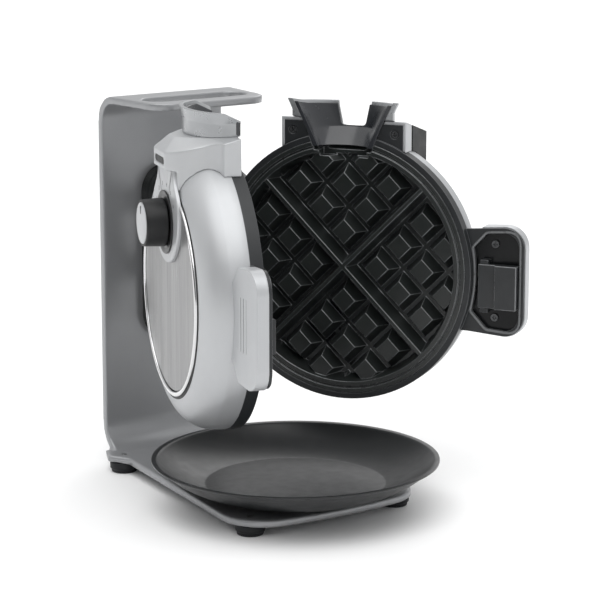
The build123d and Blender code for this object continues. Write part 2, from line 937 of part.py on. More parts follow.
def latch_pin_form(gap):
    length = 2 * (latch_half + axial_gap + latch_lug)
    with BuildPart() as form:
        with BuildSketch(level_plane(right, latch_w - length / 2)):
            with Locations((latch_pin_u, latch_pin_out)):
                Circle(latch_pin_radius + gap)
        extrude(amount=length, dir=(0, 0, 1))
    return form.part


# Grooves between the studs, as cross-sections at right angles to one row
def trough_sections():
    half_low = (stud_pitch - stud_base) / 2
    half_high = (stud_pitch - stud_top) / 2
    low, high = cavity_floor_out, cavity_floor_out - stud_height - 1
    spread = (half_high - half_low) / stud_height
    sections = []
    for count in range(3):
        middle = first_stud + stud_pitch * (count + 0.5)
        sections.append([(middle - half_low, low), (middle + half_low, low),
                         (middle + half_high + spread, high), (middle - half_high - spread, high)])
    inner = first_stud - stud_base / 2
    inner_high = inner + (half_high - half_low) + spread
    sections.append([(-0.5, low), (inner, low), (inner_high, high), (-0.5, high)])
    return sections


def make_studs(side):
    diagonal = {1: toward_handle(side) + Vector(0, 0, 1), -1: toward_handle(side) - Vector(0, 0, 1)}
    rim_slope = (cavity_radius - cavity_floor_radius) / (cavity_floor_out - parting_gap)
    with BuildPart() as studs:
        with BuildSketch(section_plane(side)):
            with BuildLine():
                high = cavity_floor_out - stud_height
                Polyline((0, cavity_floor_out), (0, high),
                         (cavity_floor_radius + rim_slope * stud_height, high),
                         (cavity_floor_radius, cavity_floor_out), close=True)
            make_face()
        revolve(axis=disc_axis(side))
        for turn in (1, -1):
            across = diagonal[turn].normalized()
            along = across.cross(outward(side))
            sign = y_sign(side, across, along)
            with BuildSketch(Plane(half_point(side), x_dir=across, z_dir=along)):
                for section in trough_sections():
                    for mirrored in (1, -1):
                        with BuildLine():
                            Polyline(*[(mirrored * x, sign * y) for x, y in section], close=True)
                        make_face()
            extrude(amount=2 * disc_radius, both=True, mode=Mode.SUBTRACT)
    return studs.part


# Sign of a plane's second direction against the outward direction
def y_sign(side, x_dir, z_dir):
    return 1 if z_dir.cross(x_dir).dot(outward(side)) > 0 else -1


def make_ridges(side):
    rim_slope = (cavity_radius - cavity_floor_radius) / (cavity_floor_out - parting_gap)
    low, high = cavity_floor_out, cavity_floor_out - ridge_height
    mouth = cavity_radius + rim_slope
    with BuildPart() as ridges:
        for turn in (1, -1):
            across = (toward_handle(side) + Vector(0, 0, turn)).normalized()
            along = across.cross(outward(side))
            sign = y_sign(side, across, along)
            with BuildSketch(Plane(half_point(side), x_dir=across, z_dir=along)):
                with BuildLine():
                    Polyline((-ridge_base / 2, sign * low), (ridge_base / 2, sign * low),
                             (ridge_top / 2, sign * high), (-ridge_top / 2, sign * high), close=True)
                make_face()
            extrude(amount=cavity_radius + 1, both=True)
        with BuildPart(mode=Mode.PRIVATE) as cavity:
            with BuildSketch(section_plane(side)):
                with BuildLine():
                    Polyline((0, low), (0, 0), (mouth, 0), (cavity_floor_radius, low), close=True)
                make_face()
            revolve(axis=disc_axis(side))
        add(cavity.part, mode=Mode.INTERSECT)
    return ridges.part


def make_cooking_plate(side):
    groove = (rim_groove_radius, rim_groove_radius + rim_groove_width)
    body_radius = plate_seat_radius - ledge_width - 0.2
    with BuildPart() as plate:
        with BuildSketch(section_plane(side)):
            with BuildLine():
                Polyline(
                    (0, cavity_floor_out),
                    (cavity_floor_radius, cavity_floor_out),
                    (cavity_radius, parting_gap),
                    (groove[0], parting_gap),
                    (groove[0], parting_gap + rim_groove_depth),
                    (groove[1], parting_gap + rim_groove_depth),
                    (groove[1], parting_gap),
                    (plate_radius, parting_gap),
                    (plate_radius, ledge_out),
                    (body_radius, ledge_out),
                    (body_radius, plate_back_out),
                    (0, plate_back_out),
                    close=True,
                )
            make_face()
        revolve(axis=disc_axis(side))
        add(make_studs(side))
        add(make_ridges(side))
        add(funnel_form(side, liner_wall + seat_gap), mode=Mode.SUBTRACT)
        with BuildSketch(face_plane(side, 0)):
            with Locations((0, (cavity_floor_radius + funnel_low) / 2)):
                Rectangle(2 * inlet_half, funnel_low - cavity_floor_radius + 2)
        extrude(amount=funnel_low_depth, dir=outward(side), mode=Mode.SUBTRACT)
    return plate


def make_heating_element(side):
    with BuildPart() as element:
        with BuildSketch(section_plane(side)):
            with Locations((element_radius, plate_back_out + element_tube)):
                Circle(element_tube)
        revolve(axis=disc_axis(side), revolution_arc=element_arc)
    return element


def make_reflector(side):
    with BuildPart() as reflector:
        with BuildSketch(section_plane(side)):
            with BuildLine():
                outer = reflector_radius + reflector_sheet
                back = reflector_out + reflector_sheet
                Polyline(
                    (reflector_radius, plate_back_out),
                    (outer, plate_back_out),
                    (outer, back),
                    (0, back),
                    (0, reflector_out),
                    (reflector_radius, reflector_out),
                    close=True,
                )
            make_face()
        revolve(axis=disc_axis(side))
    return reflector


def make_shell(side):
    seat_under = insert_seat_out - wall
    hole = insert_radius - insert_seat_width
    inside = disc_radius - wall
    crease = (crease_radius, crease_out)
    shoulder = (rim_radius, shell_face_out)
    inner_crease = (crease_radius - wall, crease_out)
    inner_shoulder = (rim_radius + 1, seat_under)
    with BuildPart() as shell:
        with BuildSketch(section_plane(side)):
            with BuildLine():
                Polyline(
                    (inside, frame_depth),
                    (disc_radius, frame_depth),
                    (disc_radius, straight_out),
                    crease,
                )
                ThreePointArc(crease, arc_middle(crease, shoulder, -shell_bulge), shoulder)
                Polyline(
                    shoulder,
                    (insert_radius + insert_gap, shell_face_out),
                    (insert_radius + insert_gap, insert_seat_out),
                    (hole, insert_seat_out),
                    (hole, seat_under),
                    inner_shoulder,
                )
                inner_middle = arc_middle(inner_shoulder, inner_crease, shell_bulge)
                ThreePointArc(inner_shoulder, inner_middle, inner_crease)
                Polyline(inner_crease, (inside, straight_out), (inside, frame_depth))
            make_face()
        revolve(axis=disc_axis(side))
        add(funnel_form(side, liner_wall + seat_gap), mode=Mode.SUBTRACT)
    return shell


def make_insert(side):
    with BuildPart() as insert:
        with BuildSketch(face_plane(side, insert_seat_out)):
            Circle(insert_radius)
        extrude(amount=insert_thickness, dir=outward(side))
        face = insert.faces().filter_by(GeomType.PLANE).sort_by(disc_axis(side))[-1]
        fillet(face.edges(), radius=insert_round)
        if side == left:
            with BuildSketch(face_plane(side, insert_seat_out)):
                with Locations((0, dial_w)):
                    Circle(shaft_radius + shaft_clearance)
            extrude(amount=insert_thickness, dir=outward(side), mode=Mode.SUBTRACT)
    return insert


def make_head(side):
    boss_out = ear_plate_out + ear_plate_thickness
    with BuildPart(mode=Mode.PRIVATE) as hollow:
        add(head_form(side, wall, wall))
        if side == right:
            add(notch_form(side, wall), mode=Mode.SUBTRACT)
    with BuildPart() as head:
        add(head_form(side, 0, 0, crowned=side == left))
        if side == right:
            add(notch_form(side, 0), mode=Mode.SUBTRACT)
        add(hollow.part, mode=Mode.SUBTRACT)
        # open towards the parting face, where the ear plate closes it
        with BuildSketch(face_plane(side, 0)):
            with Locations((0, (head_low + ear_plate_top) / 2)):
                Rectangle(2 * (head_half - wall), ear_plate_top - head_low)
        extrude(amount=boss_out, dir=outward(side), mode=Mode.SUBTRACT)
        # bosses for the ear screws
        with BuildSketch(face_plane(side, boss_out)):
            with Locations(*ear_screw_places()):
                Circle(boss_radius)
        extrude(amount=head_side_out - boss_out + 2, dir=outward(side))
        with BuildSketch(face_plane(side, boss_out)):
            with Locations(*ear_screw_places()):
                Circle(screw_radius)
        extrude(amount=head_side_out - boss_out, dir=outward(side), mode=Mode.SUBTRACT)
        add(disc_form(side, seat_gap), mode=Mode.SUBTRACT)
        add(funnel_form(side, liner_wall + seat_gap), mode=Mode.SUBTRACT)
        if side == left:
            with BuildSketch(face_plane(side, window_back_out - 1)):
                with Locations((0, window_w)):
                    SlotOverall(2 * window_half + 0.2, window_height + 0.2)
            extrude(amount=wall + 2, dir=outward(side), mode=Mode.SUBTRACT)
    return head


def make_funnel(side):
    with BuildPart() as funnel:
        add(funnel_form(side, liner_wall))
        add(funnel_form(side, 0), mode=Mode.SUBTRACT)
        with BuildSketch(level_plane(side, funnel_low - liner_wall)):
            Circle(2 * funnel_low_half)
        extrude(amount=liner_wall, dir=(0, 0, 1), mode=Mode.SUBTRACT)
        add(above_rim(side, rim_step), mode=Mode.SUBTRACT)
        with BuildSketch(face_plane(side, -1)):
            Rectangle(8 * funnel_top_half, 4 * funnel_top)
        extrude(amount=parting_gap + 1, dir=outward(side), mode=Mode.SUBTRACT)
        if side == right:
            add(notch_form(side, 0), mode=Mode.SUBTRACT)
    return funnel


def make_collar(side):
    high = max(rim_back_w.values()) + 1
    flare = collar_flare * (high - collar_crease[side]) / (rim_edge_w - collar_crease[right])
    with BuildPart() as collar:
        add(half_ellipse(side, funnel_knee, collar_half, collar_depth))
        add(half_ellipse(side, collar_crease[side], collar_half, collar_depth))
        add(half_ellipse(side, high, collar_half + flare, collar_depth + flare / 2))
        loft(ruled=True)
        add(above_rim(side, 0), mode=Mode.SUBTRACT)
        split(bisect_by=slope_plane(side, 0), keep=Keep.TOP)
        if side == left:
            add(head_crown(side), mode=Mode.SUBTRACT)
        add(funnel_form(side, liner_wall + seat_gap), mode=Mode.SUBTRACT)
        with BuildSketch(face_plane(side, -1)):
            Rectangle(8 * funnel_top_half, 4 * funnel_top)
        extrude(amount=parting_gap + 1, dir=outward(side), mode=Mode.SUBTRACT)
        if side == right:
            add(notch_form(side, 0), mode=Mode.SUBTRACT)
    return collar


def make_handle(side):
    with BuildPart(mode=Mode.PRIVATE) as hollow:
        with BuildSketch(face_plane(side, frame_depth)):
            add(grip_outline(wall))
        extrude(amount=nose_out, dir=outward(side))
        split(bisect_by=grip_plane(side, wall), keep=Keep.BOTTOM)
    with BuildPart() as handle:
        with BuildSketch(face_plane(side, frame_depth)):
            add(grip_outline(0))
        extrude(amount=nose_out, dir=outward(side))
        add(hollow.part, mode=Mode.SUBTRACT)
        # bosses for the handle screws
        with BuildSketch(face_plane(side, tub_floor_out + tub_wall)):
            with Locations(*handle_screw_places()):
                Circle(boss_radius)
        extrude(amount=nose_out, dir=outward(side))
        split(bisect_by=grip_plane(side, 0), keep=Keep.BOTTOM)
        add(disc_form(side, seat_gap), mode=Mode.SUBTRACT)
        # grooves on the grip
        with BuildSketch(grip_plane(side, groove_depth)):
            for count in range(grip_grooves):
                place = groove_first_u + count * groove_pitch - handle_start
                with Locations(((groove_low + groove_high) / 2, side_y(side) * place)):
                    Rectangle(groove_high - groove_low, groove_width)
        extrude(amount=2 * groove_depth, mode=Mode.SUBTRACT)
    return handle


# Sign that turns a distance from the shell into the second direction of the grip's plane
def side_y(side):
    plane = grip_plane(side, 0)
    return 1 if plane.y_dir.dot(toward_handle(side)) > 0 else -1


def make_screws(side):
    seat_out = ear_plate_out + screw_head_height + screw_recess
    with BuildPart() as screws:
        for places, seat, length in (
            (ear_screw_places(), seat_out, head_side_out - seat_out - 1),
            (handle_screw_places(), tub_floor_out, tub_wall),
        ):
            with BuildSketch(face_plane(side, seat - screw_head_height)):
                with Locations(*places):
                    Circle(screw_head)
            extrude(amount=screw_head_height, dir=outward(side))
            with BuildSketch(face_plane(side, seat)):
                with Locations(*places):
                    Circle(screw_radius)
            extrude(amount=length, dir=outward(side))
    return screws


def make_control_panel():
    with BuildPart() as panel:
        with BuildSketch(face_plane(left, insert_face_out)) as outline:
            with BuildLine():
                top = nose_low
                depth = panel_belly_w - panel_tip_w
                EllipticalCenterArc((0, panel_belly_w), panel_half, depth, start_angle=180, arc_size=180)
                for step in (-1, 1):
                    Bezier(
                        (step * panel_half, panel_belly_w),
                        (step * panel_half, panel_belly_w + 14),
                        (step * (panel_neck_half + 0.5), top - 14),
                        (step * panel_neck_half, top),
                    )
                Line((-panel_neck_half, top), (panel_neck_half, top))
            make_face()
            with Locations((0, dial_w)):
                Circle(shaft_radius + shaft_clearance, mode=Mode.SUBTRACT)
        extrude(amount=panel_thickness, dir=outward(left))
    return panel


def make_dial_ring():
    with BuildPart() as ring:
        with BuildSketch(face_plane(left, panel_face_out)):
            with Locations((0, dial_w)):
                Circle(dial_ring_radius)
                Circle(shaft_radius + shaft_clearance, mode=Mode.SUBTRACT)
        extrude(amount=dial_ring_thickness, dir=outward(left))
    return ring


def make_knob():
    with BuildPart() as knob:
        with BuildSketch(face_plane(left, knob_back_out)):
            with Locations((0, dial_w)):
                Circle(knob_radius + knob_skirt)
        with BuildSketch(face_plane(left, knob_face_out)):
            with Locations((0, dial_w)):
                Circle(knob_radius)
        loft()
        face = knob.faces().filter_by(GeomType.PLANE).sort_by(disc_axis(left))[-1]
        fillet(face.edges(), radius=knob_round)
        with BuildSketch(face_plane(left, knob_back_out)):
            with Locations((0, dial_w)):
                Circle(shaft_radius + pin_seat_gap)
        extrude(amount=knob_length / 2, dir=outward(left), mode=Mode.SUBTRACT)
    return knob


def make_knob_cap():
    with BuildPart() as cap:
        with BuildSketch(face_plane(left, knob_face_out)):
            with Locations((0, dial_w)):
                Circle(knob_cap_radius)
        extrude(amount=knob_cap_thickness, dir=outward(left))
    return cap


def make_knob_shaft():
    start = reflector_out + reflector_sheet + thermostat_length / 3
    with BuildPart() as shaft:
        with BuildSketch(face_plane(left, start)):
            with Locations((0, dial_w)):
                Circle(shaft_radius)
        extrude(amount=knob_back_out + knob_length / 2 - start, dir=outward(left))
    return shaft


def make_thermostat():
    start = reflector_out + reflector_sheet
    with BuildPart() as thermostat:
        with BuildSketch(face_plane(left, start)):
            with Locations((0, dial_w)):
                Circle(thermostat_radius)
        extrude(amount=thermostat_length, dir=outward(left))
        with BuildSketch(face_plane(left, start + thermostat_length / 3)):
            with Locations((0, dial_w)):
                Circle(shaft_radius + pin_running_gap)
        extrude(amount=thermostat_length, dir=outward(left), mode=Mode.SUBTRACT)
    return thermostat


def make_indicator_window():
    with BuildPart() as window:
        with BuildSketch(face_plane(left, window_back_out)):
            with Locations((0, window_w)):
                SlotOverall(2 * window_half, window_height)
        extrude(amount=window_depth + 0.6, dir=outward(left))
    return window


def make_indicator_lamps():
    with BuildPart() as lamps:
        with BuildSketch(face_plane(left, window_back_out - lamp_length)):
            with Locations((-lamp_spacing / 2, window_w), (lamp_spacing / 2, window_w)):
                Circle(lamp_radius)
        extrude(amount=lamp_length, dir=outward(left))
    return lamps


def make_latch_lever():
    with BuildPart() as lever:
        with BuildSketch(level_plane(right, latch_w - latch_half)):
            with BuildLine():
                Polyline(
                    (latch_start, latch_step_out),
                    (latch_step, latch_step_out),
                    (latch_step, latch_front_out),
                    (latch_end, latch_front_out),
                    (latch_end, latch_back_out),
                    (latch_start + 2, latch_back_out + 1),
                    (latch_start, latch_back_out),
                    close=True,
                )
            make_face()
        extrude(amount=2 * latch_half, dir=(0, 0, 1))
        add(latch_pin_form(pin_running_gap), mode=Mode.SUBTRACT)
    return lever


def make_latch_pin():
    with BuildPart() as pin:
        add(latch_pin_form(0))
    return pin


def make_latch_keeper():
    with BuildPart() as keeper:
        with BuildSketch(level_plane(left, latch_w - keeper_half)):
            with BuildLine():
                Polyline(
                    (keeper_start, tub_floor_out),
                    (keeper_start, keeper_front_out + 3),
                    (keeper_start + 3, keeper_front_out),
                    (keeper_end, keeper_front_out),
                    (keeper_end, tub_floor_out),
                    close=True,
                )
            make_face()
        extrude(amount=2 * keeper_half, dir=(0, 0, 1))
    return keeper


# Housing on the right head where the mains lead enters, with an open bore in its outer face
def make_cord_housing():
    with BuildPart() as housing:
        with BuildSketch(level_plane(right, housing_low)) as outline:
            with BuildLine():
                Polyline(
                    (housing_inner_u, housing_start_out),
                    (head_half, housing_start_out),
                    (head_half, housing_end_out),
                    (housing_inner_u, housing_end_out),
                    close=True,
                )
            make_face()
            fillet(outline.vertices().group_by(Axis.X)[-1].sort_by(Axis.Y)[-1:], radius=housing_round)
        extrude(amount=head_top[right] - housing_low, dir=(0, 0, 1))
        split(bisect_by=slope_plane(right, 0), keep=Keep.BOTTOM)
        # the head's own form, moved towards the housing by a gap
        shift = (toward_handle(right) + outward(right)) * 2 * seat_gap
        add(head_form(right, 0, 0).moved(Location(shift)), mode=Mode.SUBTRACT)
        add(disc_form(right, seat_gap), mode=Mode.SUBTRACT)
        with BuildSketch(face_plane(right, housing_end_out)):
            with Locations((cord_bore_u, cord_bore_w)):
                Circle(cord_bore_radius)
        extrude(amount=cord_bore_length, dir=-outward(right), mode=Mode.SUBTRACT)
    return housing


save(make_stand(), "stand")
for place, corner in zip(foot_places(), ("front_left", "front_right", "rear_left", "rear_right")):
    save(make_foot(place), f"foot_{corner}")
save(make_foot_screws(), "foot_screws")
save(make_tray(), "catch_tray")
save(make_hinge_bracket(), "hinge_bracket")
save(make_bracket_screws(), "bracket_screws")
save(make_hinge_pin(), "hinge_pin")
for side in (right, left):
    name = side_name[side]
    save(make_frame(side), f"{name}_frame")
    save(make_cooking_plate(side), f"{name}_cooking_plate")
    save(make_heating_element(side), f"{name}_heating_element")
    save(make_reflector(side), f"{name}_reflector")
    save(make_shell(side), f"{name}_shell")
    save(make_insert(side), f"{name}_insert")
    save(make_head(side), f"{name}_head")
    save(make_funnel(side), f"{name}_funnel")
    save(make_collar(side), f"{name}_collar")
    save(make_handle(side), f"{name}_handle")
    save(make_screws(side), f"{name}_screws")
save(make_control_panel(), "control_panel")
save(make_dial_ring(), "dial_ring")
save(make_knob(), "knob")
save(make_knob_cap(), "knob_cap")
save(make_knob_shaft(), "knob_shaft")
save(make_thermostat(), "thermostat")
save(make_indicator_window(), "indicator_window")
save(make_indicator_lamps(), "indicator_lamps")
save(make_latch_lever(), "latch_lever")
save(make_latch_pin(), "latch_pin")
save(make_latch_keeper(), "latch_keeper")
save(make_cord_housing(), "cord_housing")
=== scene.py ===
import math

import bmesh
import bpy
import numpy as np
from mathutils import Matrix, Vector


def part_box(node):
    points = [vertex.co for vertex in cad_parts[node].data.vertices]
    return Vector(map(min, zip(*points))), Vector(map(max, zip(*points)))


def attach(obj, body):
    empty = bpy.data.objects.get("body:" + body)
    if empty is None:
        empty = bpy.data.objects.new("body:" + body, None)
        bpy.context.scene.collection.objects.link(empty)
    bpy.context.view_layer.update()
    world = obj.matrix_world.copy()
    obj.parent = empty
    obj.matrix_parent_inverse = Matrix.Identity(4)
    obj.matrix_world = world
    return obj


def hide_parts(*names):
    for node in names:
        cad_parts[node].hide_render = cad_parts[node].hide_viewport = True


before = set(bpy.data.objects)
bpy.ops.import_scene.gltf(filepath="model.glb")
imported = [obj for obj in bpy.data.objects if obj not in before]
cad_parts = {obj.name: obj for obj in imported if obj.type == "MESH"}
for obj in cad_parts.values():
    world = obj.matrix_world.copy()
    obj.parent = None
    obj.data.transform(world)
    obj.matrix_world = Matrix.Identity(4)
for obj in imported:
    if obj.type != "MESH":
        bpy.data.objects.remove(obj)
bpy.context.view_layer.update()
scene = bpy.context.scene
mm = 0.001

# Sizes below are in millimetres. On a half of the iron, u runs from the disc's centre to its
# handle, out runs away from the parting face and w runs up.
hinge = {"y": 154.65, "z": 163.4, "toDisc": 132.0}
halves = {"right": {"side": 1, "open": 33.4}, "left": {"side": -1, "open": 17.6}}
print("frame loaded:", len(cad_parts), "nodes")


# A point of a half, with along = toDisc + u: x = side (along sin + out cos) and
# y = hinge - along cos + out sin
def onHalf(half, u, out, w):
    side, turn = halves[half]["side"], math.radians(halves[half]["open"])
    along = hinge["toDisc"] + np.asarray(u, float)
    out = np.asarray(out, float)
    x = side * (along * math.sin(turn) + out * math.cos(turn))
    y = hinge["y"] - along * math.cos(turn) + out * math.sin(turn)
    z = hinge["z"] + np.asarray(w, float)
    return np.stack(np.broadcast_arrays(x, y, z), axis=-1)


# Cells of a grid: each joins (i, j), (i + 1, j), (i + 1, j + 1) and (i, j + 1)
def gridFaces(rows, cols, wrapRows=False, wrapCols=False):
    i = np.arange(rows if wrapRows else rows - 1)[:, None]
    j = np.arange(cols if wrapCols else cols - 1)[None, :]
    nextI, nextJ = (i + 1) % rows, (j + 1) % cols
    corners = (i * cols + j, nextI * cols + j, nextI * cols + nextJ, i * cols + nextJ)
    return np.stack(np.broadcast_arrays(*corners), axis=-1).reshape(-1, 4)


# A closed profile of (x, y, cut) corners, each of which gives way to a short curve:
# (1 - t)^2 a + 2 t (1 - t) corner + t^2 b, where a and b lie cut away from it on its two sides
def rounded(corners, steps=4):
    corners = np.array(corners, float)
    point, cut = corners[:, :2], corners[:, 2:]
    back, ahead = np.roll(point, 1, 0) - point, np.roll(point, -1, 0) - point
    back /= np.maximum(np.linalg.norm(back, axis=1, keepdims=True), 1e-9)
    ahead /= np.maximum(np.linalg.norm(ahead, axis=1, keepdims=True), 1e-9)
    t = np.linspace(0, 1, steps)[None, :, None]
    a, b = (point + back * cut)[:, None], (point + ahead * cut)[:, None]
    return ((1 - t) ** 2 * a + 2 * t * (1 - t) * point[:, None] + t**2 * b).reshape(-1, 2)


def withCut(points, cut):
    return [(x, y, cut) for x, y in points]


# Shallow curve between two points: the chord plus 4 t (1 - t) bulge to its left
def bowed(start, end, bulge, count=16):
    start, end = np.array(start, float), np.array(end, float)
    chord = end - start
    left = np.array([-chord[1], chord[0]]) / np.linalg.norm(chord)
    t = np.linspace(0, 1, count)[:, None]
    return start + chord * t + 4 * t * (1 - t) * bulge * left


# Profile (radius, height) carried round an axis: a = radius sin, b = radius cos, h = height
def spun(place, profile, steps, closed=True, centre=(0, 0)):
    angle = np.linspace(0, 2 * math.pi, steps, endpoint=False)[:, None]
    radius, height = profile[:, 0][None], profile[:, 1][None]
    a, b = centre[0] + radius * np.sin(angle), centre[1] + radius * np.cos(angle)
    return place(a, b, height + 0 * angle), gridFaces(steps, len(profile), True, closed)


# Pad on a closed outline: each ring is the outline drawn in by an inset, at its own height,
# and both ends close to the outline's middle
def pad(place, outline, rings):
    ahead = np.roll(outline, -1, 0) - np.roll(outline, 1, 0)
    normal = np.stack([ahead[:, 1], -ahead[:, 0]], -1)
    normal /= np.maximum(np.linalg.norm(normal, axis=1, keepdims=True), 1e-9)
    after = np.roll(outline, -1, 0)
    normal *= np.sign(np.sum(outline[:, 0] * after[:, 1] - outline[:, 1] * after[:, 0]))
    middle = outline.mean(0)
    rows = [place(middle[0] + 0 * outline[:, 0], middle[1], rings[0][1])]
    for inset, height in rings:
        ring = outline - normal * inset
        rows.append(place(ring[:, 0], ring[:, 1], height))
    rows.append(place(middle[0] + 0 * outline[:, 0], middle[1], rings[-1][1]))
    return np.stack(rows), gridFaces(len(rows), len(outline), False, True)


# Stadium outline round a centre: two half circles joined by straight sides
def stadium(halfLong, halfWide, centre, count=12):
    turn = np.linspace(0, math.pi, count)
    ends = np.stack([halfWide * np.cos(turn), halfLong - halfWide + halfWide * np.sin(turn)], -1)
    return np.concatenate([ends, -ends]) + centre


# Two ways to place a surface: on a half's face, and upright on a centre of the floor
def onFace(half):
    return lambda a, b, h: onHalf(half, a, h, b)


def upright(centre):
    return lambda a, b, h: np.stack(np.broadcast_arrays(a + centre[0], b + centre[1], h), -1)


